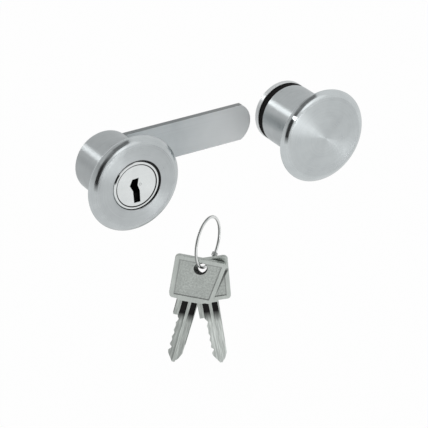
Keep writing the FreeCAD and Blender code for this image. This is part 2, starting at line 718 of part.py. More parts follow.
def axial_cone(name, front, depth, front_radius, rear_radius, shift):
    """Cone or cylinder along Y; shift moves it along X."""
    cone = doc.addObject("Part::Cone", name)
    cone.Placement = Placement(Vector(shift.number, front.number, 0), Rotation(Vector(1, 0, 0), -90))
    bind(cone, "Placement.Base.x", shift)
    bind(cone, "Placement.Base.y", front)
    bind(cone, "Radius1", front_radius)
    bind(cone, "Radius2", rear_radius)
    bind(cone, "Height", depth)
    return cone


def make_hexagon_nut(front):
    """Thin hexagon nut with bevelled corners at its rear."""
    thickness = dim["cam_nut_thickness"]
    width = dim["cam_nut_width"]
    prism = hexagon_prism("cam_nut_prism", front, thickness, width, AXIS)
    bevel = axial_cone("cam_nut_bevel", front, thickness, width * 0.5 + thickness, width * 0.48, AXIS)
    body = doc.addObject("Part::MultiCommon", "cam_nut_body")
    body.Shapes = [prism, bevel]
    bore = doc.addObject("Part::Cylinder", "cam_nut_bore")
    bore.Placement = Placement(Vector(0, front.number - 1, 0), Rotation(Vector(1, 0, 0), -90))
    bind(bore, "Placement.Base.y", front - 1)
    bind(bore, "Radius", tail_radius + dim["fit"])
    bind(bore, "Height", thickness + 2)
    nut = doc.addObject("Part::Cut", "cam_nut")
    nut.Label = "cam_nut"
    nut.Base = body
    nut.Tool = bore
    nodes.append(nut)


# Places along the knob's axis
knob_sleeve_rear = -dim["knob_gasket_front"]
knob_disc_back = knob_sleeve_rear - dim["knob_sleeve_length"]
knob_edge_front = knob_disc_back - dim["knob_disc_thickness"]
knob_ring_front = dim["knob_gasket_rear"]
knob_ring_rear = knob_ring_front + dim["knob_ring_thickness"]
knob_cavity_floor = -dim["knob_cavity_depth"]
screw_radius = dim["screw_diameter"] / 2
screw_head_radius = dim["screw_head_diameter"] / 2
screw_head_depth = screw_head_radius - screw_radius


def make_knob_shell():
    """Turned knob: domed disc, sleeve, rear bore and tapped hole."""
    body = new_body("knob_shell", at_knob=True)
    bore = screw_radius + dim["fit"] * 2
    bore_end = -dim["screw_reach"] - dim["pane_travel"] * 0.3
    dome_front = knob_edge_front - dim["knob_dome"]
    run = edge_run(dim["knob_disc_thickness"])
    edge_radius = flange_radius - run
    rise = dim["knob_dome"]
    dome_radius = (edge_radius.number ** 2 + rise.number ** 2) / (2 * rise.number)
    dome = Size(dome_radius, f"(({edge_radius.formula} ^ 2 + {rise.formula} ^ 2) / (2 * {rise.formula}))")
    turn(body, [
        *arc_corners(AXIS, dome_front, dome, edge_radius, DOME_STEPS)[:-1],
        *arc_corners(edge_radius, knob_edge_front, dim["flange_edge_radius"], run, EDGE_STEPS),
        (sleeve_radius, knob_disc_back),
        (sleeve_radius, knob_sleeve_rear), (cavity_radius, knob_sleeve_rear),
        (cavity_radius, knob_cavity_floor), (bore, knob_cavity_floor),
        (bore, bore_end), (AXIS, bore_end),
    ])


def make_knob_ring():
    """Ring behind the glass with the tube that goes through it and a countersunk hole."""
    body = new_body("knob_rear_ring", at_knob=True)
    hole = screw_radius + dim["fit"] * 2
    tube_bore = spigot_radius - dim["knob_tube_wall"]
    wall_front = knob_ring_front - dim["knob_tube_wall"]
    tube_front = knob_ring_front - dim["spigot_length"]
    head_radius = screw_head_radius + dim["fit"] * 2
    turn(body, [
        (hole, wall_front), (tube_bore, wall_front),
        (tube_bore, tube_front), (spigot_radius, tube_front),
        (spigot_radius, knob_ring_front), (sleeve_radius, knob_ring_front),
        (sleeve_radius, knob_ring_rear), (head_radius, knob_ring_rear),
        (hole, knob_ring_rear - screw_head_depth),
    ])


def make_knob_gaskets():
    """Black rubber ring before the glass, and the collared one behind it."""
    outer = sleeve_radius - dim["gasket_play"] * 2
    split = dim["gasket_stand"]
    ring("knob_front_gasket", gasket_bore_radius, outer, knob_sleeve_rear, split, at_knob=True)
    collared_gasket("knob_rear_gasket", outer, split + dim["pane_gap"], knob_ring_front, at_knob=True)


def make_knob_screw():
    """Countersunk screw with a hexagon socket, from the ring into the knob."""
    head_rear = knob_ring_rear - dim["fit"]
    head_front = head_rear - screw_head_depth
    shank_front = -dim["screw_reach"]
    head = axial_cone("knob_screw_head", head_front, screw_head_depth,
                      screw_radius, screw_head_radius, knob_spacing)
    shank = doc.addObject("Part::Cylinder", "knob_screw_shank")
    shank.Placement = Placement(Vector(knob_spacing.number, shank_front.number, 0),
                                Rotation(Vector(1, 0, 0), -90))
    bind(shank, "Placement.Base.x", knob_spacing)
    bind(shank, "Placement.Base.y", shank_front)
    bind(shank, "Radius", screw_radius)
    bind(shank, "Height", head_front - shank_front + screw_head_depth / 2)
    blank = doc.addObject("Part::MultiFuse", "knob_screw_blank")
    blank.Shapes = [shank, head]
    depth = screw_head_depth * 0.8
    socket = hexagon_prism("knob_screw_socket", head_rear - depth, depth + 1,
                           dim["screw_socket_width"], knob_spacing)
    screw = doc.addObject("Part::Cut", "knob_screw")
    screw.Label = "knob_screw"
    screw.Base = blank
    screw.Tool = socket
    nodes.append(screw)


def bow_corners(inset):
    """Grip outline, drawn in by inset all round; the wire lies at the origin."""
    top = dim["bow_width"] / 2 - inset
    foot = dim["bow_foot_width"] / 2 - inset
    shift = as_size(-0.6)
    return [
        (shift - foot, inset - dim["bow_foot"]), (shift + foot, inset - dim["bow_foot"]),
        (shift + top, dim["bow_top"] - inset), (shift - top, dim["bow_top"] - inset),
    ]


def blade_corners():
    """Blade outline from inside the grip to the tip, with the cuts down its left side."""
    middle = -dim["blade_shift"]
    left = middle - dim["blade_width"] / 2
    right = middle + dim["blade_width"] / 2
    end = dim["blade_end"]
    neck_left = left - dim["stop_width"]
    inside_grip = dim["bow_rim"] - dim["bow_foot"]
    corners = [
        (neck_left, inside_grip), (neck_left, -dim["stop_end"]), (left - 0.3, -dim["stop_end"]),
    ]
    for number, depth in enumerate(KEY_CUTS):
        middle_z = -dim["cut_start"] - dim["cut_pitch"] * number
        corners += [
            (left, middle_z + 1.45), (left + depth, middle_z + 0.45), (left + depth, middle_z - 0.45),
        ]
    last = -dim["cut_start"] - dim["cut_pitch"] * (len(KEY_CUTS) - 1)
    right_foot = right - dim["blade_taper"]
    corners += [
        (left, last - 1.6), (left + 0.2, last - 2.6), (middle - 0.9, -end), (middle + 0.3, -end),
        (middle + 1.6, -end + 1.5), (right_foot, dim["tip_bevel"] - end), (right, inside_grip),
    ]
    return corners


def make_key(name, number):
    """Flat key: grip with a blank panel each side, grooved blade with cuts, stop tab."""
    body = new_body(name)
    half = dim["key_thickness"] / 2
    whole = dim["key_thickness"]
    grip = new_sketch(body, "XZ_Plane", -half)
    draw_outline(grip, bow_corners(as_size(0.0)))
    pad(body, grip, whole)
    corner_edges = []
    for edge_number, edge in enumerate(body.Tip.Shape.Edges, start=1):
        if edge.BoundBox.YLength > half.number:
            corner_edges.append(f"Edge{edge_number}")
    dress(body, "Fillet", dim["bow_corner"], corner_edges)
    blade = new_sketch(body, "XZ_Plane", -half)
    draw_outline(blade, blade_corners())
    pad(body, blade, whole)
    hole = new_sketch(body, "XZ_Plane", -half)
    draw_circle(hole, AXIS, -dim["hole_drop"], dim["bow_hole"] / 2)
    pocket(body, hole, whole)
    groove_top = -dim["bow_foot"] - dim["groove_start"]
    rib_left = -dim["blade_shift"] - dim["rib_width"] / 2 - 0.2
    rib_right = rib_left + dim["rib_width"]
    edge_side = -dim["blade_shift"] - dim["blade_width"] / 2 - 0.1
    for front in (-half, half - dim["panel_depth"]):
        panel = new_sketch(body, "XZ_Plane", front)
        draw_outline(panel, bow_corners(dim["bow_rim"]))
        pocket(body, panel, dim["panel_depth"])
    for front in (-half, half - dim["groove_depth"]):
        for low, high in ((edge_side, rib_left), (rib_right, rib_right + dim["groove_width"])):
            groove = new_sketch(body, "XZ_Plane", front)
            draw_outline(groove, rectangle(low, high, -dim["blade_end"] - 1, groove_top))
            pocket(body, groove, dim["groove_depth"])
    hang(body, number)


def place_on_ring(item, across, up, rotation):
    """Puts an item on the ring's plane: so far across it and so far up from its middle."""
    turn_angle = math.radians(RING_TURN)
    item.Placement = Placement(Vector(0, 0, 0), rotation)
    bind(item, "Placement.Base.x", dim["ring_x"] + across * math.cos(turn_angle))
    bind(item, "Placement.Base.y", dim["ring_y"] + across * math.sin(turn_angle))
    bind(item, "Placement.Base.z", dim["ring_z"] + up)


def hang(body, number):
    """Hangs a key on the ring: turned to the room, tilted, the first key before the second."""
    hoop = dim["hoop_radius"]
    off_plane = math.sin(math.radians(RING_TURN - KEY_TURNS[number]))
    side = (0.5, -0.5)[number]
    step = (dim["key_thickness"] + dim["key_gap"]) * (side / off_plane)
    across = hoop * math.cos(math.radians(KEYS_ON_RING)) - step
    up = -root(hoop * hoop - across * across)
    rotation = Rotation(Vector(0, 0, 1), KEY_TURNS[number]) * Rotation(Vector(0, 1, 0), KEY_TILTS[number])
    place_on_ring(body, across, up, rotation)


def make_key_ring():
    """Wire ring that both keys hang on, and the sleeve that its coiled end fills."""
    wire = dim["wire_diameter"] / 2
    upright = Rotation(Vector(0, 0, 1), RING_TURN)
    hoop = new_body("key_ring")
    around = [2 * math.pi * side / WIRE_SIDES for side in range(WIRE_SIDES)]
    turn(hoop, [(dim["hoop_radius"] + wire * math.cos(a), wire * math.sin(a)) for a in around])
    place_on_ring(hoop, AXIS, AXIS, upright)
    clasp = new_body("ring_clasp")
    bore = wire + dim["fit"] * 1.6
    end = wire * 1.9
    turn(clasp, [
        (bore, -end), (bore + wire / 2, -end), (bore + wire, wire / 2 - end),
        (bore + wire, end - wire / 2), (bore + wire / 2, end), (bore, end),
    ])
    angle = math.radians(CLASP_ON_RING)
    across, up = dim["hoop_radius"] * math.cos(angle), dim["hoop_radius"] * math.sin(angle)
    along_wire = upright * Rotation(Vector(0, 1, 0), -CLASP_ON_RING) * Rotation(Vector(1, 0, 0), 90)
    place_on_ring(clasp, across, up, along_wire)


def check_and_export():
    """Stops on a failed feature or a bad shape, then writes each node to its STEP file."""
    doc.recompute()
    for item in doc.Objects:
        if "Invalid" in item.State or "Error" in item.State:
            raise RuntimeError(f"{item.Label}: {item.State}")
    for node in nodes:
        if node.Shape.isNull() or not node.Shape.isValid():
            raise RuntimeError(f"{node.Label}: bad shape")
    os.makedirs("parts", exist_ok=True)
    for node in nodes:
        node.Shape.exportStep(f"parts/{node.Label}.step")
        print(f"{node.Label}: {len(node.Shape.Solids)} solid, {node.Shape.Volume:.1f} mm3")


make_lock_shell()
make_barrel()
make_barrel_nut()
make_plug()
for wafer_number, wafer_code in enumerate(WAFER_CODES, start=1):
    make_wafer(wafer_number, wafer_code)
make_wafer_springs()
make_retaining_clip()
make_clamp_bush()
make_lock_gaskets()
make_cam()
make_cam_fasteners()
make_knob_shell()
make_knob_ring()
make_knob_gaskets()
make_knob_screw()
make_key("key_1", 0)
make_key("key_2", 1)
make_key_ring()
check_and_export()
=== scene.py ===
import json
import math

import bmesh
import bpy
import numpy as np
from mathutils import Matrix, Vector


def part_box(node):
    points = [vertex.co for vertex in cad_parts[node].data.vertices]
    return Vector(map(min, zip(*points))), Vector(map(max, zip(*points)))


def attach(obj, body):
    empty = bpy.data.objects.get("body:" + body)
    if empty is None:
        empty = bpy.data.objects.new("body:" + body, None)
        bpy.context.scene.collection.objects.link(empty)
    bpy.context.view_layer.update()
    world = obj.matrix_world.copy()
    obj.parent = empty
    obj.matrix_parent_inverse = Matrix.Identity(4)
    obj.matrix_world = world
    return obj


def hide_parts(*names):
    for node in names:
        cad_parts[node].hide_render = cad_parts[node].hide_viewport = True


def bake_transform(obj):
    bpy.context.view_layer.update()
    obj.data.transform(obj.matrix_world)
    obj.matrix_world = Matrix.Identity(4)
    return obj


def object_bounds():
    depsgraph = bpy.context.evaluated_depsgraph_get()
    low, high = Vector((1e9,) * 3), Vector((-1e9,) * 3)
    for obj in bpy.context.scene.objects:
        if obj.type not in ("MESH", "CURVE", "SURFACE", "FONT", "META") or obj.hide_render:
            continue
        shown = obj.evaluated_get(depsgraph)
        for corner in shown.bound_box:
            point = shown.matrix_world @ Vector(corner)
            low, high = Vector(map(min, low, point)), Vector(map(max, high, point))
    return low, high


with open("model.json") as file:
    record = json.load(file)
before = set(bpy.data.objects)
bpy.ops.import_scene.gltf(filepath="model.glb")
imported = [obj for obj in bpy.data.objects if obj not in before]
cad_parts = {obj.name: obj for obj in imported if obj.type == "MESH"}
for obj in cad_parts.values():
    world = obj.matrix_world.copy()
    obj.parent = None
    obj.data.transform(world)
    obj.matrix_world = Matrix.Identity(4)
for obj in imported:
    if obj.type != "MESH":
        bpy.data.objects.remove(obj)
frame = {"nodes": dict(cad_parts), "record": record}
cad_box = [list(corner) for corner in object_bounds()]


# Lock shell: flange and sleeve turned from one bar of stainless steel, bored for the cylinder,
# and brushed while it spins, so that the fine marks run round the lock's axis.
mm = 0.001  # sizes are in millimetres; at y = 0 the sleeve bears on the glass, -y is the front
flange_r, face_y, back_y, edge_r = 20.0, -25.8, -23.0, 5.0
sleeve_r, sleeve_end = 13.0, 0.0
mouth_r, mouth_rim_r, mouth_floor, mouth_bevel = 10.1, 10.7, -23.1, -25.2
bore_r, bore_end, hollow_r = 8.65, -12.5, 10.3
recess_r, recess_floor = 12.0, -0.8


def rounded(corners, points=5):
    """Closed outline from corners (r, y, softness), with a small curve at each of them:
    (1-s)^2 A + 2s(1-s) P + s^2 B, where P is the corner, and A and B lie on its two sides,
    softness away from it and at most 0.45 of the side."""
    corners = np.array(corners, float)
    corner, softness = corners[:, :2], corners[:, 2:]
    before, after = np.roll(corner, 1, 0) - corner, np.roll(corner, -1, 0) - corner
    reach_before = np.linalg.norm(before, axis=1, keepdims=True)
    reach_after = np.linalg.norm(after, axis=1, keepdims=True)
    start = corner + before / reach_before * np.minimum(softness, reach_before * 0.45)
    end = corner + after / reach_after * np.minimum(softness, reach_after * 0.45)
    s = np.linspace(0, 1, points)[None, :, None]
    start, middle, end = start[:, None], corner[:, None], end[:, None]
    return ((1 - s) ** 2 * start + 2 * s * (1 - s) * middle + s ** 2 * end).reshape(-1, 2)


def arc(centre, radius, start, end, softness):
    """Arc of an outline: centre + radius (cos a, sin a) for even steps of a from start to end,
    in degrees, with one corner for each softness."""
    a = np.radians(np.linspace(start, end, len(softness)))
    return list(zip(centre[0] + radius * np.cos(a), centre[1] + radius * np.sin(a), softness))


def front_edge(face, back, softness):
    """Round front edge of a disc: an arc of radius edge_r that leaves the face level and meets
    the back at flange_r. It is sqrt(2 edge_r h - h^2) wide, where h = back - face."""
    height = back - face
    width = math.sqrt(2 * edge_r * height - height ** 2)
    turn = math.degrees(math.asin(width / edge_r))
    return arc((flange_r - width, face + edge_r), edge_r, -90, -90 + turn, softness)


def placed(name, mesh, sharp):
    """Object for a mesh, smooth but for edges of more than sharp degrees."""
    mesh.shade_smooth()
    mesh.set_sharp_from_angle(angle=math.radians(sharp))
    piece = bpy.data.objects.new(name, mesh)
    bpy.context.scene.collection.objects.link(piece)
    return piece


def skin(name, grid, closed_across=True, sharp=35.0):
    """Mesh of quads over a grid of points. Its rows go round the piece and close on the first,
    its columns go along the outline, which may close too. The map holds the way along the
    outline in metres and the share of a turn. Merging closes seams and poles."""
    rows, columns = grid.shape[:2]
    steps_across = columns if closed_across else columns - 1
    row, column = np.meshgrid(np.arange(rows), np.arange(steps_across), indexing="ij")
    next_row, next_column = (row + 1) % rows, (column + 1) % columns
    corners = (row, column), (row, next_column), (next_row, next_column), (next_row, column)
    quads = np.stack([r * columns + c for r, c in corners], -1).reshape(-1, 4)
    step = np.linalg.norm(np.roll(grid[0], -1, 0) - grid[0], axis=1)
    way = np.concatenate([[0.0], np.cumsum(step)])
    turn = np.arange(rows + 1) / rows
    along = np.stack([way[column], way[column + 1], way[column + 1], way[column]], -1)
    around = np.stack([turn[row], turn[row], turn[row + 1], turn[row + 1]], -1)
    mesh = bpy.data.meshes.new(name)
    mesh.vertices.add(rows * columns)
    mesh.vertices.foreach_set("co", grid.reshape(-1))
    mesh.loops.add(quads.size)
    mesh.loops.foreach_set("vertex_index", quads.reshape(-1))
    mesh.polygons.add(len(quads))
    mesh.polygons.foreach_set("loop_start", np.arange(0, quads.size, 4))
    mesh.update(calc_edges=True)
    chart = mesh.uv_layers.new(name="UVMap")
    chart.data.foreach_set("uv", np.stack([along, around], -1).reshape(-1))
    form = bmesh.new()
    form.from_mesh(mesh)
    bmesh.ops.remove_doubles(form, verts=form.verts, dist=1e-7)
    bmesh.ops.recalc_face_normals(form, faces=form.faces)
    form.to_mesh(mesh)
    form.free()
    return placed(name, mesh, sharp)


def revolve(name, outline, axis_x=0.0, steps=240):
    """Turned piece: outline point (r, y) goes to (axis_x + r cos t, y, r sin t) for every t."""
    t = np.linspace(0, 2 * np.pi, steps, endpoint=False)[:, None]
    r, y = outline[None, :, 0] * mm, outline[None, :, 1] * mm
    grid = np.stack([axis_x * mm + r * np.cos(t), y + 0 * t, r * np.sin(t)], -1)
    return skin(name, grid)


def feed(tree, value, socket):
    """Puts another node's output or a plain value into a socket."""
    if isinstance(value, bpy.types.NodeSocket):
        tree.links.new(value, socket)
    else:
        socket.default_value = value


def math_node(tree, operation, *values):
    """One step of arithmetic on values or sockets."""
    node = tree.nodes.new("ShaderNodeMath")
    node.operation = operation
    for value, socket in zip(values, node.inputs):
        feed(tree, value, socket)
    return node.outputs[0]


def vector_node(tree, operation, *vectors):
    """One step of arithmetic on vectors."""
    node = tree.nodes.new("ShaderNodeVectorMath")
    node.operation = operation
    for vector, socket in zip(vectors, node.inputs):
        feed(tree, vector, socket)
    return node


def times(tree, first, *others):
    """Product of masks or values."""
    for other in others:
        first = math_node(tree, "MULTIPLY", first, other)
    return first


def ramp(tree, value, limits, results, smooth=False):
    """Goes from the first result to the second while value goes from limit to limit, and
    stays there beyond both ends."""
    node = tree.nodes.new("ShaderNodeMapRange")
    node.interpolation_type = "SMOOTHSTEP" if smooth else "LINEAR"
    tree.links.new(value, node.inputs["Value"])
    ends = zip(("From Min", "From Max", "To Min", "To Max"), (*limits, *results))
    for name, end in ends:
        feed(tree, end, node.inputs[name])
    return node.outputs[0]


def ramp_mm(tree, value, limits, results):
    """The same for a value in metres, with its limits in millimetres."""
    return ramp(tree, value, (limits[0] * mm, limits[1] * mm), results)


def between(tree, value, limits, soft=0.04):
    """1 where a value in metres lies between two limits in millimetres, soft at both."""
    low, high = limits
    return times(tree, ramp_mm(tree, value, (low - soft, low + soft), (0.0, 1.0)),
                 ramp_mm(tree, value, (high - soft, high + soft), (1.0, 0.0)))


def mix(tree, factor, first, second, kind="RGBA"):
    """The first colour or number where factor is 0, the second where it is 1."""
    node = tree.nodes.new("ShaderNodeMix")
    node.data_type = kind
    tree.links.new(factor, node.inputs["Factor"])
    for value, name in ((first, "A"), (second, "B")):
        feed(tree, (*value, 1) if isinstance(value, tuple) else value, node.inputs[name])
    return node.outputs["Result"]


def noise(tree, place, scale, detail=2.0, roughness=0.5):
    """Cloudy noise, scale spots to the metre, mostly from 0.3 to 0.7."""
    node = tree.nodes.new("ShaderNodeTexNoise")
    for name, value in (("Vector", place), ("Scale", scale), ("Detail", detail),
                        ("Roughness", roughness)):
        feed(tree, value, node.inputs[name])
    return node.outputs["Fac"]


def object_place(tree, own=None):
    """Place of each point of a piece in the whole set's frame, in metres, or in the piece's
    own frame, R^-1 (place - origin), where own = (origin, rotation)."""
    place = tree.nodes.new("ShaderNodeTexCoord").outputs["Object"]
    if own is None:
        return place
    turned = tree.nodes.new("ShaderNodeMapping")
    turned.vector_type = "TEXTURE"
    turned.inputs["Location"].default_value, turned.inputs["Rotation"].default_value = own
    tree.links.new(place, turned.inputs["Vector"])
    return turned.outputs[0]


def axes(tree, vector):
    """The numbers of a vector, by the names X, Y and Z."""
    split = tree.nodes.new("ShaderNodeSeparateXYZ")
    tree.links.new(vector, split.inputs[0])
    return split.outputs


def node_group(name, ins, outs):
    """Node group with named inputs, each with its start value, and named outputs."""
    group = bpy.data.node_groups.new(name, "ShaderNodeTree")
    for socket_name, kind, value in ins:
        socket = group.interface.new_socket(name=socket_name, in_out="INPUT", socket_type=kind)
        if value is not None:
            socket.default_value = value
    for socket_name in outs:
        group.interface.new_socket(name=socket_name, in_out="OUTPUT",
                                   socket_type="NodeSocketFloat")
    entry, exit_node = group.nodes.new("NodeGroupInput"), group.nodes.new("NodeGroupOutput")
    return group, entry.outputs, exit_node.inputs


def brushed_marks():
    """Marks of a brushing wheel: noise on (across * fineness, 0, 0) + place * slow gives long
    thin lines, and a broad noise gives the cloudy shade of handled metal, both from 0 to 1."""
    group, ins, outs = node_group(
        "brushed_marks",
        [("Across", "NodeSocketFloat", 0.0), ("Place", "NodeSocketVector", None),
         ("Fineness", "NodeSocketFloat", 4000.0), ("Slow", "NodeSocketFloat", 60.0)],
        ["Lines", "Cloud"])
    line = group.nodes.new("ShaderNodeCombineXYZ")
    group.links.new(times(group, ins["Across"], ins["Fineness"]), line.inputs["X"])
    slow = vector_node(group, "SCALE", ins["Place"])
    group.links.new(ins["Slow"], slow.inputs["Scale"])
    stretched = vector_node(group, "ADD", slow.outputs[0], line.outputs[0]).outputs[0]
    lines = noise(group, stretched, 1.0, detail=3.0, roughness=0.6)
    cloud = noise(group, ins["Place"], 170.0, detail=3.0)
    group.links.new(ramp(group, lines, (0.3, 0.7), (0.0, 1.0)), outs["Lines"])
    group.links.new(ramp(group, cloud, (0.3, 0.7), (0.0, 1.0)), outs["Cloud"])
    return group


def round_zone():
    """Zone about an axis that runs along Y through x = Axis, z = Height: 1 where the distance
    sqrt((x - Axis)^2 + (z - Height)^2) lies between Inner and Outer, give or take Soft, and
    the depth y between Front and Rear, give or take 0.04 mm."""
    group, ins, outs = node_group(
        "ring_zone",
        [("Place", "NodeSocketVector", None), ("Axis", "NodeSocketFloat", 0.0),
         ("Height", "NodeSocketFloat", 0.0), ("Inner", "NodeSocketFloat", 0.0),
         ("Outer", "NodeSocketFloat", 1.0), ("Soft", "NodeSocketFloat", 0.0),
         ("Front", "NodeSocketFloat", -1.0), ("Rear", "NodeSocketFloat", 1.0)],
        ["Zone"])
    place = axes(group, ins["Place"])
    across = math_node(group, "SUBTRACT", place["X"], ins["Axis"])
    up = math_node(group, "SUBTRACT", place["Z"], ins["Height"])
    square = math_node(group, "ADD", times(group, across, across), times(group, up, up))
    radius, depth, depth_soft = math_node(group, "SQRT", square), place["Y"], 0.04 * mm

    def limit(value, name, soft, results):
        """Soft step at the input of that name."""
        ends = [math_node(group, step, ins[name], soft) for step in ("SUBTRACT", "ADD")]
        return ramp(group, value, ends, results)

    zone = times(group, limit(radius, "Inner", ins["Soft"], (0.0, 1.0)),
                 limit(radius, "Outer", ins["Soft"], (1.0, 0.0)),
                 limit(depth, "Front", depth_soft, (0.0, 1.0)),
                 limit(depth, "Rear", depth_soft, (1.0, 0.0)))
    group.links.new(zone, outs["Zone"])
    return group


marks, zone = brushed_marks(), round_zone()


def place_group(tree, group, **inputs):
    """Places a node group in a tree and feeds its inputs by their names."""
    node = tree.nodes.new("ShaderNodeGroup")
    node.node_tree = group
    for name, value in inputs.items():
        feed(tree, value, node.inputs[name])
    return node


def new_material(name):
    """Material, its node tree and its Principled shader."""
    material = bpy.data.materials.new(name)
    material.use_nodes = True
    return material, material.node_tree, material.node_tree.nodes["Principled BSDF"]


def raise_surface(tree, shader, height, strength, distance):
    """Feeds a height from 0 to 1 into the shader's normal, distance millimetres high."""
    bump = tree.nodes.new("ShaderNodeBump")
    bump.inputs["Strength"].default_value = strength
    bump.inputs["Distance"].default_value = distance * mm
    tree.links.new(height, bump.inputs["Height"])
    tree.links.new(bump.outputs["Normal"], shader.inputs["Normal"])


def brushed_metal(name, dark, light, rough, fineness, depth, across="turned", slow=60.0,
                  grain=0.0, own=None):
    """Metal whose shade, roughness and height follow the brushing. across says how the marks
    lie: 'turned' reads the way along the outline from the map, X, Y or Z one coordinate of
    the set or of the piece's own frame. grain stretches the gloss across the marks."""
    line_share, cloud_share = 0.45, 0.55
    material, tree, shader = new_material(name)
    place = object_place(tree, own)
    if across == "turned":
        chart = tree.nodes.new("ShaderNodeUVMap")
        chart.uv_map = "UVMap"
        way = axes(tree, chart.outputs["UV"])["X"]
    else:
        way = axes(tree, place)[across]
    effect = place_group(tree, marks, Across=way, Place=place, Fineness=fineness, Slow=slow)
    effect.name = "marks"
    both = math_node(tree, "ADD", times(tree, effect.outputs["Lines"], line_share),
                     times(tree, effect.outputs["Cloud"], cloud_share))
    tree.links.new(mix(tree, both, dark, light), shader.inputs["Base Color"])
    tree.links.new(ramp(tree, both, (0.0, 1.0), rough), shader.inputs["Roughness"])
    shader.inputs["Metallic"].default_value = 1.0
    if grain:
        shader.inputs["Anisotropic"].default_value = grain
        tangent = tree.nodes.new("ShaderNodeTangent")
        tangent.direction_type = "UV_MAP"
        tangent.uv_map = "UVMap"
        tree.links.new(tangent.outputs[0], shader.inputs["Tangent"])
    raise_surface(tree, shader, effect.outputs["Lines"], depth, 0.03)
    return material


def finish_with(piece, material):
    """Gives a piece one material all over."""
    piece.data.materials.clear()
    piece.data.materials.append(material)


def ring_zone(tree, centre, radii, soft=0.04, depths=(-1000.0, 1000.0), place=None):
    """Mask of a ring about the axis along Y through centre = (x, z), between two radii and
    between two depths, all in millimetres."""
    names = ("Axis", "Height", "Inner", "Outer", "Soft", "Front", "Rear")
    sizes = {name: size * mm for name, size in zip(names, (*centre, *radii, soft, *depths))}
    place = object_place(tree) if place is None else place
    return place_group(tree, zone, Place=place, **sizes).outputs["Zone"]


def overlay(material, mask, colour=None, rough=None):
    """Lays another colour or roughness over a material's own where the mask is 1."""
    tree = material.node_tree
    shader = tree.nodes["Principled BSDF"]
    for name, value, kind in (("Base Color", colour, "RGBA"), ("Roughness", rough, "FLOAT")):
        if value is not None:
            below = shader.inputs[name].links[0].from_socket
            tree.links.new(mix(tree, mask, below, value, kind), shader.inputs[name])


def satin_finish(name, dark, light, axis_x, edge_from):
    """Turned and brushed steel whose round front edge, from radius edge_from outwards, is
    polished with a finer wheel."""
    material = brushed_metal(name, dark, light, rough=(0.26, 0.36), fineness=5200.0,
                             depth=0.07, grain=0.93)
    edge = ring_zone(material.node_tree, (axis_x, 0.0), (edge_from, flange_r + 0.5), 0.3,
                     (-30.0, back_y + 1.0))
    overlay(material, edge, rough=0.10)
    return material


satin_steel = satin_finish("satin_steel", dark=(0.485, 0.515, 0.525), light=(0.605, 0.64, 0.65),
                           axis_x=0.0, edge_from=17.1)
# Painted shade in the mouth, round the head ring, a little wider on one side
painted_dark_and_grease, head_depths = (0.03, 0.03, 0.03), (-26.0, -22.9)
mouth_shade = ring_zone(satin_steel.node_tree, (0.25, 0.15), (9.8, 10.5), 0.08, head_depths)
overlay(satin_steel, mouth_shade, painted_dark_and_grease, rough=0.6)
shell_line = rounded(
    [(bore_r, bore_end, 0.05), (bore_r, mouth_floor, 0.05), (mouth_r, mouth_floor, 0.05),
     (mouth_r, mouth_bevel, 0.1), (mouth_rim_r, face_y, 0.12)]
    + front_edge(face_y, back_y, [0.04] * 13 + [0.12])
    + [(sleeve_r, back_y, 0.7), (sleeve_r, sleeve_end, 0.12), (recess_r, sleeve_end, 0.05),
       (recess_r, recess_floor, 0.05), (hollow_r, recess_floor, 0.05), (hollow_r, bore_end, 0.05)])
lock_shell = revolve("lock_shell_turned", shell_line)
finish_with(lock_shell, satin_steel)
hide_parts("lock_shell")
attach(lock_shell, "housing")


# Cylinder body: die cast, nickel plated and polished on the head ring that shows in the
# flange's mouth; its rear end carries the threads for the nut and the clamp.
from_middle = -1.0  # inner radius of a zone that reaches its own middle


def finished_copy(node, softness):
    """A CAD node's own shape with its doubled points merged, its flat faces whole and its
    edges softened, for pieces that were milled, cast or stamped."""
    name = node + "_finished"
    mesh = frame["nodes"][node].data.copy()
    mesh.name = name
    form = bmesh.new()
    form.from_mesh(mesh)
    bmesh.ops.remove_doubles(form, verts=form.verts, dist=0.002 * mm)
    bmesh.ops.dissolve_limit(form, angle_limit=math.radians(0.6), verts=form.verts,
                             edges=form.edges)
    form.to_mesh(mesh)
    form.free()
    mesh.materials.clear()
    piece = placed(name, mesh, sharp=30.0)
    if softness:
        bevel = piece.modifiers.new("softened", "BEVEL")
        bevel.width = softness * mm
        bevel.segments = 2
        bevel.limit_method = "ANGLE"
        bevel.angle_limit = math.radians(32)
        bevel.use_clamp_overlap = True
        bevel.harden_normals = True
    return piece


def bright_nickel(name):
    """Polished nickel, with a dark line in the joint between head ring and core: painted shade of
    the gap, with grease.
    """
    material = brushed_metal(name, dark=(0.755, 0.785, 0.785), light=(0.855, 0.885, 0.885),
                             rough=(0.12, 0.20), across="Z", fineness=2500.0, depth=0.03)
    # Painted shade in the gap between head ring and core, with grease
    joint = ring_zone(material.node_tree, (0.05, -0.10), (8.56, 9.02), 0.06, head_depths)
    overlay(material, joint, painted_dark_and_grease, rough=0.5)
    return material


nickel = bright_nickel("bright_nickel")
# Painted dark reflection on the ring's edge at the upper left
dark_reflection_spot = times(nickel.node_tree, ring_zone(nickel.node_tree, (0.0, 0.0), (9.45, 10.2), 0.05),
              ring_zone(nickel.node_tree, (-8.35, 4.85), (from_middle, 1.9), 0.5))
overlay(nickel, dark_reflection_spot, painted_dark_and_grease, rough=0.5)
barrel = finished_copy("barrel", 0)
finish_with(barrel, nickel)
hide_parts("barrel")
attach(barrel, "housing")

# Core: its round face is plated and polished, the keyway is broached through it, and the
# tail behind it is flatted and threaded for the cam.
core_face, core_end, core_inside_r = -25.2, -0.9, 8.4
core_nickel = bright_nickel("bright_nickel_core")
# Painted shade inside the keyway and on the core behind its face
keyway = ring_zone(core_nickel.node_tree, (0.0, 0.0), (from_middle, core_inside_r),
                   depths=(core_face, core_end))
overlay(core_nickel, keyway, colour=(0.012, 0.012, 0.012), rough=0.7)
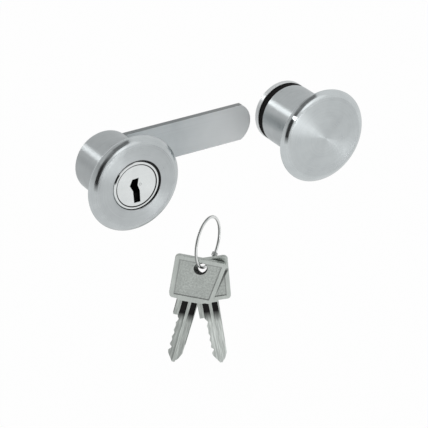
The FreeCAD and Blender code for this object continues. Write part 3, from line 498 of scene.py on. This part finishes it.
# Faint small dark ring in the face, beside the keyway
small_dark_ring = ring_zone(core_nickel.node_tree, (1.75, 0.15), (0.38, 0.58), 0.06, (-26.0, -25.1))
overlay(core_nickel, times(core_nickel.node_tree, small_dark_ring, 0.6), colour=(0.05, 0.05, 0.05),
        rough=0.5)
plug = finished_copy("plug", 0.05)
finish_with(plug, core_nickel)
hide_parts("plug")
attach(plug, "plug_core")

# Tail of the core: threaded for the cam's nut and milled flat on two sides, so that the cam
# turns with it.
tail_from, tail_end, tail_r, tail_flat, tail_bevel = 0.1, 13.0, 3.0, 2.2, 0.6
pitch, thread_depth = 0.8, 0.42


def screw_surface(name, steps=128, per_turn=12):
    """Flatted screw: at angle a and depth y the radius is tail_r less thread_depth times a saw
    |2 frac(y / pitch - a / 2 pi) - 1| with its tips cut flat, but no more than
    tail_flat / |cos a|, nor than the cone of 45 degrees that breaks the end. Both ends close
    on the axis."""
    y = np.linspace(tail_from, tail_end, int((tail_end - tail_from) / pitch * per_turn))
    y = np.concatenate([y[:1], y, y[-1:]])[None, :]
    a = np.linspace(0, 2 * np.pi, steps, endpoint=False)[:, None]
    saw = np.abs(2 * np.mod(y / pitch - a / (2 * np.pi), 1.0) - 1)
    r = tail_r - thread_depth * np.clip(1.25 * saw - 0.1, 0, 1)
    r = np.minimum(r, tail_flat / np.maximum(np.abs(np.cos(a)), 1e-6))
    r = np.minimum(r, tail_r - tail_bevel + (tail_end - y))
    r[:, [0, -1]] = 0.0
    grid = np.stack([r * np.cos(a), y + 0 * r, r * np.sin(a)], -1) * mm
    return skin(name, grid, closed_across=False, sharp=28.0)


# The copy of the core loses its own plain tail here, and its cut end is closed
cut = bmesh.new()
cut.from_mesh(plug.data)
loose = bmesh.ops.bisect_plane(cut, geom=cut.verts[:] + cut.edges[:] + cut.faces[:],
                               plane_co=(0, tail_from * mm, 0), plane_no=(0, 1, 0),
                               clear_outer=True)
rim = [part for part in loose["geom_cut"] if isinstance(part, bmesh.types.BMEdge)]
bmesh.ops.holes_fill(cut, edges=rim)
cut.to_mesh(plug.data)
cut.free()
tail = screw_surface("plug_tail_threaded")
tail_steel = brushed_metal("tail_steel", dark=(0.62, 0.62, 0.60), light=(0.74, 0.74, 0.72),
                           rough=(0.22, 0.34), across="Y", fineness=2500.0, depth=0.05)
# Painted shade in the thread roots, not on the flats and not on the broken end
tree = tail_steel.node_tree
beside = math_node(tree, "ABSOLUTE", axes(tree, object_place(tree))["X"])
off_flat = ramp_mm(tree, beside, (tail_flat - 0.10, tail_flat - 0.03), (0.9, 0.0))
root_shade = ring_zone(tree, (0.0, 0.0), (from_middle, tail_r - 0.24), 0.16, (0.0, tail_end - 0.65))
overlay(tail_steel, times(tree, off_flat, root_shade), colour=(0.05, 0.05, 0.05), rough=0.5)
finish_with(tail, tail_steel)
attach(tail, "plug_core")

# Cam: flat bar of plated steel, punched out and tumbled, with rolled edges and an arc at the
# tip; it swings behind the neighbouring door. Painted light makes its outer half lighter and
# painted shade darkens its long edges.
cam_side, lighter_from, lighter_to = 7.9, 34.0, 68.0
cam_steel = brushed_metal("cam_steel", dark=(0.51, 0.55, 0.565), light=(0.61, 0.65, 0.665),
                          rough=(0.52, 0.60), across="Z", fineness=2200.0, slow=25.0, depth=0.12)
tree = cam_steel.node_tree
tree.nodes["Principled BSDF"].inputs["Metallic"].default_value = 0.6
place = axes(tree, object_place(tree))
off_middle = math_node(tree, "ABSOLUTE", place["Z"])
# Painted light on the outer half, lighter towards the tip, against the knob's dark reflection
painted_light_part = ramp_mm(tree, place["X"], (lighter_from, lighter_to), (0.0, 1.0))
# Painted shade along the cam's long edges
edge_shade = ramp_mm(tree, off_middle, (cam_side - 0.24, cam_side - 0.12), (0.0, 0.75))
overlay(cam_steel, painted_light_part, colour=(0.86, 0.88, 0.885))
overlay(cam_steel, edge_shade, colour=(0.16, 0.17, 0.17), rough=0.5)
cam = finished_copy("cam", 0)
finish_with(cam, cam_steel)
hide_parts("cam")
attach(cam, "cam_set")

# Knob: the lock's twin without a lock, for the second door, turned from the same bar with a
# slightly domed disc and a threaded hole for the screw that holds its rear ring.
knob_x, knob_back, knob_edge, knob_top = 85.7, -25.95, -28.35, -29.05
knob_recess, knob_hollow_end, screw_hole_r, screw_hole_end = -2.3, -12.2, 3.1, -20.5
knob_arc = front_edge(knob_edge, knob_back, [0.3] + [0.04] * 12 + [0.12])
dome_reach, dome_rise = knob_arc[0][0], knob_edge - knob_top
dome_r = (dome_reach ** 2 + dome_rise ** 2) / (2 * dome_rise)
dome_span = math.degrees(math.asin(dome_reach / dome_r))
dome = arc((0, knob_top + dome_r), dome_r, -90, -90 + dome_span, [0.001] + [0.1] * 11)[:-1]
knob_line = rounded(
    dome + knob_arc
    + [(sleeve_r, knob_back, 0.7), (sleeve_r, knob_recess, 0.12), (hollow_r, knob_recess, 0.1),
       (hollow_r, knob_hollow_end, 0.05), (screw_hole_r, knob_hollow_end, 0.05),
       (screw_hole_r, screw_hole_end, 0.05), (0, screw_hole_end, 0.001)])
# The knob's satin steel is a lighter copy of the lock's: painted light
knob_steel = satin_finish("satin_steel_knob", dark=(0.53, 0.565, 0.575),
                          light=(0.655, 0.695, 0.705), axis_x=knob_x, edge_from=17.3)
knob_shell = revolve("knob_shell_turned", knob_line, knob_x)
finish_with(knob_shell, knob_steel)
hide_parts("knob_shell")
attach(knob_shell, "housing")

# Rear ring of the knob: turned steel, countersunk for its screw, with the thin tube that
# goes through the hole in the glass.
tube_inner, tube_r, tube_front = 8.4, 9.6, -9.5
web_front, ring_seat, ring_rear, sink_r, sink_floor = -0.2, 1.0, 3.3, 5.9, 0.5
ring_line = rounded(
    [(screw_hole_r, web_front, 0.05), (tube_inner, web_front, 0.05), (tube_inner, tube_front, 0.05),
     (tube_r, tube_front, 0.1), (tube_r, ring_seat, 0.05), (sleeve_r, ring_seat, 0.15),
     (sleeve_r, ring_rear, 0.3), (sink_r, ring_rear, 0.1), (screw_hole_r, sink_floor, 0.05)])
knob_ring = revolve("knob_rear_ring_turned", ring_line, knob_x)
ring_steel = brushed_metal("satin_steel_ring", dark=(0.76, 0.785, 0.79),
                           light=(0.86, 0.885, 0.89), rough=(0.30, 0.40), fineness=5200.0,
                           depth=0.07, grain=0.9)
finish_with(knob_ring, ring_steel)
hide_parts("knob_rear_ring")
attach(knob_ring, "knob_clamp")


# Gaskets: black rubber rings that meet the glass, moulded with soft corners and a dull skin;
# each rear one has a thin collar that lines the hole in the glass.
gasket_bore, lock_gasket_r, knob_gasket_r = 10.4, 11.9, 12.8
front_end, rear_start = 0.1, 0.2  # where front and rear gaskets meet while the clamps are closed
collar_bore, collar_r, collar_length = 9.65, 10.1, 5.0


def moulded_skin():
    """Skin from a mould: a fine noise of Speckle spots to the metre, and a broad one for the
    marks of handling."""
    group, ins, outs = node_group(
        "moulded_skin",
        [("Place", "NodeSocketVector", None), ("Speckle", "NodeSocketFloat", 5000.0)],
        ["Fine", "Broad"])
    group.links.new(noise(group, ins["Place"], ins["Speckle"], detail=4.0), outs["Fine"])
    group.links.new(noise(group, ins["Place"], 220.0), outs["Broad"])
    return group


mould_marks = moulded_skin()


def moulded(name, dark, light, rough, speckle):
    """Rubber or plastic with a dull skin, its shade and roughness uneven from handling."""
    material, tree, shader = new_material(name)
    effect = place_group(tree, mould_marks, Place=object_place(tree), Speckle=speckle).outputs
    tree.links.new(mix(tree, effect["Broad"], dark, light), shader.inputs["Base Color"])
    tree.links.new(ramp(tree, effect["Broad"], (0.3, 0.7), rough), shader.inputs["Roughness"])
    raise_surface(tree, shader, effect["Fine"], 0.3, 0.04)
    return material


def front_outline(outer, front):
    """Corners of a plain ring that lies in a shell's recess."""
    return [(gasket_bore, front), (outer, front), (outer, front_end), (gasket_bore, front_end)]


def collared_outline(outer, rear):
    """Corners of a rear ring with the collar that runs forward from its rear end."""
    return [(collar_bore, rear - collar_length), (collar_r, rear - collar_length),
            (collar_r, rear_start), (outer, rear_start), (outer, rear), (collar_bore, rear)]


black_rubber = moulded("black_rubber", dark=(0.004, 0.004, 0.004), light=(0.009, 0.009, 0.009),
                       rough=(0.75, 0.9), speckle=5000.0)
black_rubber.node_tree.nodes["Principled BSDF"].inputs["Specular IOR Level"].default_value = 0.15
for gasket, body, axis_x, corners in (
        ("lock_front_gasket", "housing", 0.0, front_outline(lock_gasket_r, recess_floor)),
        ("lock_rear_gasket", "lock_clamp", 0.0, collared_outline(lock_gasket_r, 0.7)),
        ("knob_front_gasket", "housing", knob_x, front_outline(knob_gasket_r, knob_recess)),
        ("knob_rear_gasket", "knob_clamp", knob_x, collared_outline(knob_gasket_r, ring_seat))):
    soft_line = rounded([(*corner, 0.12) for corner in corners])
    gasket_ring = revolve(gasket + "_moulded", soft_line, axis_x)
    finish_with(gasket_ring, black_rubber)
    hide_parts(gasket)
    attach(gasket_ring, body)

# Slide washer: natural nylon, slightly translucent and waxy, lets the cam turn against the
# clamp without rubbing metal on metal.
nylon = moulded("clear_nylon", dark=(0.62, 0.61, 0.57), light=(0.74, 0.73, 0.70),
                rough=(0.35, 0.5), speckle=3000.0)
waxy = nylon.node_tree.nodes["Principled BSDF"].inputs
waxy["Subsurface Weight"].default_value = 0.2
waxy["Subsurface Scale"].default_value = 1.0 * mm
slide_washer = finished_copy("slide_washer", 0.1)
finish_with(slide_washer, nylon)
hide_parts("slide_washer")
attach(slide_washer, "cam_set")

# Plated steel parts behind the doors: round nut, clamp, tooth washer, cam nut and socket
# screw, zinc plated and left with the plating's faint bloom.
zinc_plate = brushed_metal("zinc_plate", dark=(0.46, 0.47, 0.47), light=(0.62, 0.63, 0.62),
                           rough=(0.28, 0.42), across="Y", fineness=1500.0, slow=300.0, depth=0.2)
for node, body in (("barrel_nut", "housing"), ("clamp_bush", "lock_clamp"),
                   ("tooth_washer", "cam_set"), ("cam_nut", "cam_set"),
                   ("knob_screw", "knob_clamp")):
    plated = finished_copy(node, 0.1)
    finish_with(plated, zinc_plate)
    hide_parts(node)
    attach(plated, body)

# Wafers: stamped brass plates in the core, one behind the other, with the burnish of the
# press on their edges and painted shade round their windows, behind the keyway.
wafer_count = 5
brass = brushed_metal("wafer_brass", dark=(0.60, 0.42, 0.17), light=(0.76, 0.57, 0.27),
                      rough=(0.25, 0.38), across="X", fineness=3000.0, slow=120.0, depth=0.15)
window_shade = ring_zone(brass.node_tree, (0.0, 0.0), (from_middle, 5.2), 0.4)
overlay(brass, window_shade, colour=(0.05, 0.035, 0.015), rough=0.65)
for number in range(1, wafer_count + 1):
    wafer = finished_copy(f"wafer_{number}", 0.05)
    finish_with(wafer, brass)
    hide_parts(f"wafer_{number}")
    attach(wafer, f"wafer_{number}")


# Wafer springs: hair springs of drawn wire that stand in the core, one under each wafer's lug
# and shortened by it, and the snap ring that keeps the core in the cylinder.
spring_wire_r, spring_turns, first_spring, spring_pitch = 0.15 * mm, 8, 0.7 * mm, 2.5 * mm
spring_room, spring_end = 0.17 * mm, 0.2 * mm  # kept clear at the side and at either end


def wire(name, path, out, radius, sides=10, closed=False):
    """Round wire along a path: point + radius (out cos a + side sin a), where side stands
    square to the path and to out. An open wire gets a pole at each end."""
    way = np.roll(path, -1, 0) - np.roll(path, 1, 0) if closed else np.gradient(path, axis=0)
    way /= np.linalg.norm(way, axis=1, keepdims=True)
    out = out - (out * way).sum(1, keepdims=True) * way
    out /= np.linalg.norm(out, axis=1, keepdims=True)
    side = np.cross(way, out)
    a = np.linspace(0, 2 * np.pi, sides, endpoint=False)[:, None, None]
    size = np.full(len(path), radius)
    if not closed:
        size[[0, -1]] = 0.0
        path = path.copy()
        path[0], path[-1] = path[1], path[-2]
    grid = path[None] + size[None, :, None] * (np.cos(a) * out[None] + np.sin(a) * side[None])
    return skin(name, grid, closed_across=closed, sharp=60.0)


spring_wire = brushed_metal("spring_wire", dark=(0.54, 0.54, 0.53), light=(0.60, 0.60, 0.59),
                            rough=(0.30, 0.36), across="Z", fineness=300.0, depth=0.01)
low, high = (np.array(corner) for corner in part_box("wafer_springs"))
s = np.linspace(0, 1, 220)
turn = 2 * np.pi * spring_turns * s
out = np.stack([np.cos(turn), np.sin(turn), 0 * s], -1)
coil_r = (high[0] - low[0]) / 2 - spring_room
climb = low[2] + spring_end + (high[2] - low[2] - 2 * spring_end) * s
coils = []
for number in range(wafer_count):
    middle = np.array([(low[0] + high[0]) / 2, low[1] + first_spring + spring_pitch * number, 0])
    path = middle + coil_r * out + np.stack([0 * s, 0 * s, climb], -1)
    coils.append(wire(f"wafer_spring_coil_{number + 1}", path, out, spring_wire_r))
# Each coil takes the wire's finish; its place is baked into its points
for number, coil in enumerate(coils, 1):
    finish_with(coil, spring_wire)
    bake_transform(coil)
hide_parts("wafer_springs")
clip = finished_copy("retaining_clip", 0.05)
finish_with(clip, spring_wire)
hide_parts("retaining_clip")
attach(clip, "plug_core")

# Key ring: one turn of bright drawn wire; its end is wound round it as a small coil that
# keeps the keys on.
ring_middle = np.array([40.4, -12.0, -42.4]) * mm
ring_turn = math.radians(31.5)  # the ring stands upright, turned this far from the X axis
ring_across = np.array([math.cos(ring_turn), math.sin(ring_turn), 0])
ring_up = np.array([0, 0, 1.0])
ring_r, ring_wire = 10.6 * mm, 0.6 * mm
clasp_at, clasp_half, clasp_turns = -55.0, 4.5, 4  # degrees on the ring, and turns of wire
clasp_r, clasp_wire = 0.97 * mm, 0.28 * mm
a = np.linspace(0, 2 * np.pi, 200, endpoint=False)[:, None]
hoop_out = np.cos(a) * ring_across + np.sin(a) * ring_up
hoop = wire("key_ring_wire", ring_middle + ring_r * hoop_out, hoop_out, ring_wire, sides=24,
            closed=True)
ring_metal = brushed_metal("ring_wire", dark=(0.66, 0.68, 0.67), light=(0.92, 0.94, 0.93),
                           rough=(0.12, 0.30), fineness=900.0, depth=0.05)
# Painted shade along the wire's two sides, where |cos(2 pi v)| is 1, v from the map
tree = ring_metal.node_tree
chart = axes(tree, tree.nodes.new("ShaderNodeUVMap").outputs["UV"])
round_wire = math_node(tree, "COSINE", times(tree, chart["Y"], 2 * math.pi))
wire_side_shade = ramp(tree, math_node(tree, "ABSOLUTE", round_wire), (0.78, 0.97), (0.0, 0.8))
overlay(ring_metal, wire_side_shade, colour=(0.14, 0.145, 0.14), rough=0.35)
finish_with(hoop, ring_metal)
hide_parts("key_ring")
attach(hoop, "housing")
on_ring = np.radians(clasp_at + np.linspace(-clasp_half, clasp_half, 260))[:, None]
wind = np.linspace(0, 2 * np.pi * clasp_turns, 260)[:, None]
radial = np.cos(on_ring) * ring_across + np.sin(on_ring) * ring_up
wound = np.cos(wind) * radial + np.sin(wind) * np.cross(ring_across, ring_up)
clasp_path = ring_middle + ring_r * radial + clasp_r * wound
clasp = wire("ring_clasp_coil", clasp_path, wound, clasp_wire, sides=12)
finish_with(clasp, ring_metal)
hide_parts("ring_clasp")
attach(clasp, "housing")

# Keys: blanks stamped from nickel silver sheet, their grip embossed with a bare panel, the
# blade milled with two grooves and cut down one side. Wear has dulled the grip.
grip_foot, grip_top = -15.7, 3.9  # from the ring's wire, in the key's own frame
panel_foot, panel_top, panel_x = -14.0, 2.2, -0.6
panel_side_foot, panel_side_top = 7.35, 9.0  # half its width, 1.7 inside the grip's sides
hole_z, hole_r = -0.4, 2.85
blade_below, groove_end = (-15.6, -15.4), (-16.5, -16.2)  # soft steps from grip to blade
bright_from, bright_to = -22.0, -28.0  # down the blade, which is brightest at its tip
panel_step, groove_step, lip_levels = (0.85, 0.95), (0.6, 0.8), (0.62, 0.88)  # depths |y|
# Painted shadow of the front key's edge on the rear key: its slant, its band and where it fades at
# the top
shadow_across, shadow_down, shadow_line, shadow_top = 0.84, 0.543, (6.6, 9.15), (-2.6, -1.2)


def key_wear_and_shade():
    """Marks of making and use on a key, with painted shade and a painted shadow, each a product
    of ramps over its own frame, with x across the blade, y through the blank and z up from the
    ring's wire. The depth |y| tells the raised faces (1.0) from the sunk panel (0.75) and the
    milled grooves (0.5)."""
    group, ins, outs = node_group(
        "key_wear_and_shade",
        [("Place", "NodeSocketVector", None), ("Lines", "NodeSocketFloat", 0.0),
         ("Shine", "NodeSocketFloat", 0.0), ("Dark", "NodeSocketFloat", 0.0),
         ("ShadeEnd", "NodeSocketFloat", 0.0), ("Rest", "NodeSocketFloat", 0.0),
         ("Shadowed", "NodeSocketFloat", 0.0)],
        ["Bright", "Streaks", "Pits", "Outline", "Grooves", "Lips", "CastShadow"])
    own = axes(group, ins["Place"])
    x, y, z = own["X"], own["Y"], own["Z"]
    level = math_node(group, "ABSOLUTE", y)
    in_grip = ramp_mm(group, z, blade_below, (0.0, 1.0))
    on_blade = ramp_mm(group, z, groove_end, (1.0, 0.0))
    # Blade: brighter towards its tip, with grey streaks along it
    bright = ramp_mm(group, z, (bright_from, bright_to), (0.0, ins["Shine"]))
    group.links.new(bright, outs["Bright"])
    streaks = ramp(group, ins["Lines"], (0.25, 0.75), (0.5, 0.0))
    group.links.new(times(group, on_blade, streaks), outs["Streaks"])
    # Sunk panel: a pitted ground, and painted shade along the foot of its walls
    sunk = times(group, in_grip, ramp_mm(group, level, panel_step, (1.0, 0.0)))
    pitted = noise(group, ins["Place"], 1300.0, detail=5.0, roughness=0.7)
    pits = ramp(group, pitted, (0.40, 0.66), (0.05, 0.8))
    group.links.new(times(group, sunk, pits), outs["Pits"])
    side = ramp_mm(group, z, (grip_foot, grip_top), (panel_side_foot * mm, panel_side_top * mm))
    off_middle = math_node(group, "ABSOLUTE", math_node(group, "SUBTRACT", x, panel_x * mm))
    beside = math_node(group, "SUBTRACT", side, off_middle)
    under = math_node(group, "SUBTRACT", panel_top * mm, z)
    over = math_node(group, "SUBTRACT", z, panel_foot * mm)
    inside = math_node(group, "MINIMUM", beside, math_node(group, "MINIMUM", under, over))
    outline = times(group, in_grip, between(group, inside, (-0.08, 0.42), 0.12), 0.5)
    group.links.new(outline, outs["Outline"])
    # Milled grooves: painted shade, full from Dark near the grip and down to Rest of it at Bare,
    # with painted shade on their lips
    milled = times(group, on_blade, ramp_mm(group, level, groove_step, (1.0, 0.0)))
    fading = ramp(group, z, (ins["ShadeEnd"], ins["Dark"]), (ins["Rest"], 1.0))
    group.links.new(times(group, milled, fading), outs["Grooves"])
    lips = times(group, on_blade, between(group, level, lip_levels, 0.05), 0.6)
    group.links.new(lips, outs["Lips"])
    # Painted shadow of the edge of the key in front: shadow_across x - shadow_down z in shadow_line
    along = math_node(group, "SUBTRACT", times(group, x, shadow_across), times(group, z, shadow_down))
    cast_shadow = times(group, between(group, along, shadow_line, 0.2), in_grip,
                ramp_mm(group, z, shadow_top, (1.0, 0.0)),
                ramp_mm(group, y, (-0.8, -0.6), (ins["Shadowed"], 0.0)))
    group.links.new(cast_shadow, outs["CastShadow"])
    return group


wear_and_shade_marks = key_wear_and_shade()


def key_finish(name, own, wear_and_shade):
    """Nickel silver brushed along the blade, with its marks of use, painted shade and a painted
    shadow laid over it.
    """
    material = brushed_metal(name, dark=(0.50, 0.535, 0.51), light=(0.70, 0.745, 0.71),
                             rough=(0.28, 0.42), across="X", fineness=1500.0, slow=110.0,
                             depth=0.10, own=own)
    tree = material.node_tree
    place, lines = object_place(tree, own), tree.nodes["marks"].outputs["Lines"]
    worn = place_group(tree, wear_and_shade_marks, Place=place, Lines=lines, **wear_and_shade).outputs
    # Painted shade in the bore of the hole
    hole = ring_zone(tree, (0.0, hole_z), (from_middle, hole_r), 0.05, place=place)
    for mask, colour, rough in (
            (worn["Bright"], (0.90, 0.95, 0.92), 0.24),
            (worn["Streaks"], (0.30, 0.32, 0.305), 0.45),
            (worn["Pits"], (0.38, 0.405, 0.386), 0.55),
            (worn["Outline"], (0.26, 0.26, 0.26), 0.5),
            (hole, (0.05, 0.05, 0.05), 0.5),
            (worn["Grooves"], (0.018, 0.018, 0.018), 0.4),
            (worn["Lips"], (0.10, 0.105, 0.10), 0.4),
            (worn["CastShadow"], (0.06, 0.062, 0.06), 0.5)):
        overlay(material, mask, colour, rough)
    return material


swings = {joint["name"]: joint for joint in frame["record"]["behaviour"]["joints"]}
for key, tilt, wear_and_shade in (
        # Only the rear key carries the painted shadow of the front key's edge
        ("key_1", 14.2,
         dict(Shine=0.15, Dark=-22.2 * mm, ShadeEnd=-26.5 * mm, Rest=0.18, Shadowed=0.0)),
        ("key_2", -9.5,
         dict(Shine=0.55, Dark=-20.8 * mm, ShadeEnd=-26.0 * mm, Rest=0.0, Shadowed=0.9))):
    swing = swings[key + "_swing"]
    rotation = (0.0, math.radians(tilt), math.asin(swing["axis"][0]))
    key_metal = key_finish(key + "_nickel", (swing["pos_m"], rotation), wear_and_shade)
    cut_key = finished_copy(key, 0.15)
    finish_with(cut_key, key_metal)
    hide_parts(key)
    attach(cut_key, key)

# Floor: a wide pale table top just under the set; it is white to the camera but keeps the
# soft shadow.
half_table, gap_under, camera_white = 4.0, 0.5 * mm, 0.97
floor_z = cad_box[0][2] - gap_under
floor_mesh = bpy.data.meshes.new("floor")
floor_mesh.from_pydata([(side * half_table, front * half_table, floor_z)
                        for side, front in ((-1, -1), (1, -1), (1, 1), (-1, 1))],
                       [], [(0, 1, 2, 3)])
floor = bpy.data.objects.new("floor", floor_mesh)
bpy.context.scene.collection.objects.link(floor)
floor_material, tree, table_top = new_material("pale_floor")
table_top.inputs["Base Color"].default_value = (0.9, 0.9, 0.9, 1)
table_top.inputs["Roughness"].default_value = 0.9
glow = tree.nodes.new("ShaderNodeEmission")
glow.inputs["Strength"].default_value = 1.0
to_camera = tree.nodes.new("ShaderNodeLightPath").outputs["Is Camera Ray"]
blend = tree.nodes.new("ShaderNodeMixShader")
tree.links.new(times(tree, to_camera, camera_white), blend.inputs["Fac"])
tree.links.new(table_top.outputs[0], blend.inputs[1])
tree.links.new(glow.outputs[0], blend.inputs[2])
tree.links.new(blend.outputs[0], tree.nodes["Material Output"].inputs["Surface"])
floor.data.materials.append(floor_material)
floor.visible_glossy = False

# Studio: a pale tent all round, white to the camera. In the metal it shows as light grey, with
# brighter and darker cloths and black cards hung in it, and two lamps.
world = bpy.data.worlds.new("studio_tent")
bpy.context.scene.world = world
world.use_nodes = True
sky = world.node_tree
tent = sky.nodes["Background"]
tent.inputs["Color"].default_value = (1, 1, 1, 1)
direction = sky.nodes.new("ShaderNodeTexCoord").outputs["Generated"]
camera_side = (-0.467, -0.753, 0.464)  # from the set towards the photograph's viewpoint
tent_level = 0.86
cloths = (  # direction it hangs in, degrees of full and of no effect, level
    ((0.0, 1.0, 0.0), 50, 80, 0.66),  # greyer behind the set
    ((-0.656, 0.753, 0.023), 5, 11, 0.42),  # dark line along the left of the sleeves
    ((-0.490, 0.753, 0.436), 4, 9, 4.6),  # bright line along the sleeves
    ((0.30, -0.81, 0.50), 6, 20, 1.15),  # pale top of the round edges
    ((0.10, -0.924, 0.37), 4, 13, 1.55),  # the same, nearer the left
    ((0.68, -0.70, -0.20), 6, 18, 0.66),  # calms the turned faces at the upper right
    ((0.22, -0.95, -0.22), 2, 9, 3.4),  # bright line across the turned faces
)
front, off_front = (0.0, -1.0, 0.0), (0.1125, -0.974, 0.195)
upper_left, left = (-0.656, 0.0, 0.755), (-0.875, 0.0, 0.485)
cards = (  # axis, lowest and highest lean from it, middle, half width, soft end, level
    (front, 38.0, 63.0, upper_left, 26.0, 13.0, 0.52),  # shade on the outer round edges
    (off_front, 29.0, 45.0, upper_left, 33.0, 1.5, 0.22),  # dark band on the round edges
    (off_front, 29.0, 44.0, left, 17.0, 6.0, 0.04),  # its darkest end
)


def cos_of(degrees):
    """Cosine of an angle in degrees."""
    return math.cos(math.radians(degrees))


def toward(vector, aim):
    """Cosine of the angle between a unit vector and a fixed direction."""
    return vector_node(sky, "DOT_PRODUCT", vector, aim / np.linalg.norm(aim)).outputs["Value"]


def cloth(aim, inner, outer):
    """1 within inner degrees of the direction aim, 0 beyond outer degrees, smooth between."""
    return ramp(sky, toward(direction, aim), (cos_of(outer), cos_of(inner)), (0.0, 1.0),
                smooth=True)


def black_card(axis, low, high, middle, half_width, soft_end):
    """1 where a surface whose normal h leans low to high degrees off axis, within half_width
    degrees of middle round the Y axis, mirrors the tent to the camera side: h = unit(direction
    + camera_side)."""
    half_way = vector_node(sky, "ADD", direction, camera_side).outputs[0]
    normal = vector_node(sky, "NORMALIZE", half_way).outputs[0]
    lean, ahead, soft = toward(normal, axis), toward(normal, front), 0.8
    below_high = ramp(sky, lean, (cos_of(high + soft), cos_of(high - soft)), (0.0, 1.0))
    above_low = ramp(sky, lean, (cos_of(low + soft), cos_of(low - soft)), (1.0, 0.0))
    reach = math_node(sky, "SQRT", math_node(sky, "SUBTRACT", 1.0, times(sky, ahead, ahead)))
    turned = math_node(sky, "DIVIDE", toward(normal, middle), reach)
    ends = ramp(sky, turned, (cos_of(half_width + soft_end), cos_of(half_width - soft_end)),
                (0.0, 1.0))
    return times(sky, below_high, above_low, ends)


for *hung, brightness in cloths:
    tent_level = mix(sky, cloth(*hung), tent_level, brightness, "FLOAT")
for *hung, brightness in cards:
    tent_level = mix(sky, black_card(*hung), tent_level, brightness, "FLOAT")
to_camera = sky.nodes.new("ShaderNodeLightPath").outputs["Is Camera Ray"]
sky.links.new(mix(sky, to_camera, tent_level, 1.0, "FLOAT"), tent.inputs["Strength"])
for name, watts, wide, tall, spot, aim, only in (  # the strip lights the knob's shell alone
        ("key_softbox", 0.12, 0.6, 0.6, (-0.55, -0.55, 0.75), (0.04, -0.01, -0.03), None),
        ("knob_strip", 0.28, 0.50, 0.07, (-0.196, -0.724, 0.238), (0.0857, -0.027, 0.0),
         knob_shell)):
    lamp = bpy.data.lights.new(name, "AREA")
    lamp.energy = watts
    lamp.shape = "RECTANGLE"
    lamp.size, lamp.size_y = wide, tall
    lamp_object = bpy.data.objects.new(name, lamp)
    bpy.context.scene.collection.objects.link(lamp_object)
    # It faces its aim, with its long side as near to the Y axis as that allows
    away = np.array(spot) - np.array(aim)
    back = away / np.linalg.norm(away)
    long_side = np.cross(np.cross((0, 1.0, 0), back), back)
    long_side /= np.linalg.norm(long_side)
    turned = Matrix(np.column_stack([long_side, np.cross(back, long_side), back]))
    lamp_object.matrix_world = turned.to_4x4()
    lamp_object.location = spot
    lamp_object.visible_camera = False
    if only:
        lit = bpy.data.collections.new(name + "_lights")
        lit.objects.link(only)
        lamp_object.light_linking.receiver_collection = lit

# Camera: stands to the left and above, where the photograph was taken from, and looks at the
# middle of the set through a long lens.
camera_turn, camera_rise, camera_reach = math.radians(-31.79), math.radians(27.64), 0.85
camera_aim = np.array([0.05082, 0.0, -0.03765])
focal_pixels, frame_pixels = 2053.0, 428.0
back = np.array([math.sin(camera_turn) * math.cos(camera_rise),
                 -math.cos(camera_turn) * math.cos(camera_rise), math.sin(camera_rise)])
camera_data = bpy.data.cameras.new("camera")
camera_data.lens = focal_pixels / frame_pixels * camera_data.sensor_width
camera = bpy.data.objects.new("camera", camera_data)
bpy.context.scene.collection.objects.link(camera)
camera.location = camera_aim + camera_reach * back
camera.rotation_euler = (math.pi / 2 - camera_rise, 0, camera_turn)
bpy.context.scene.camera = camera
bpy.context.scene.view_settings.view_transform = "Standard"

bpy.context.view_layer.update()
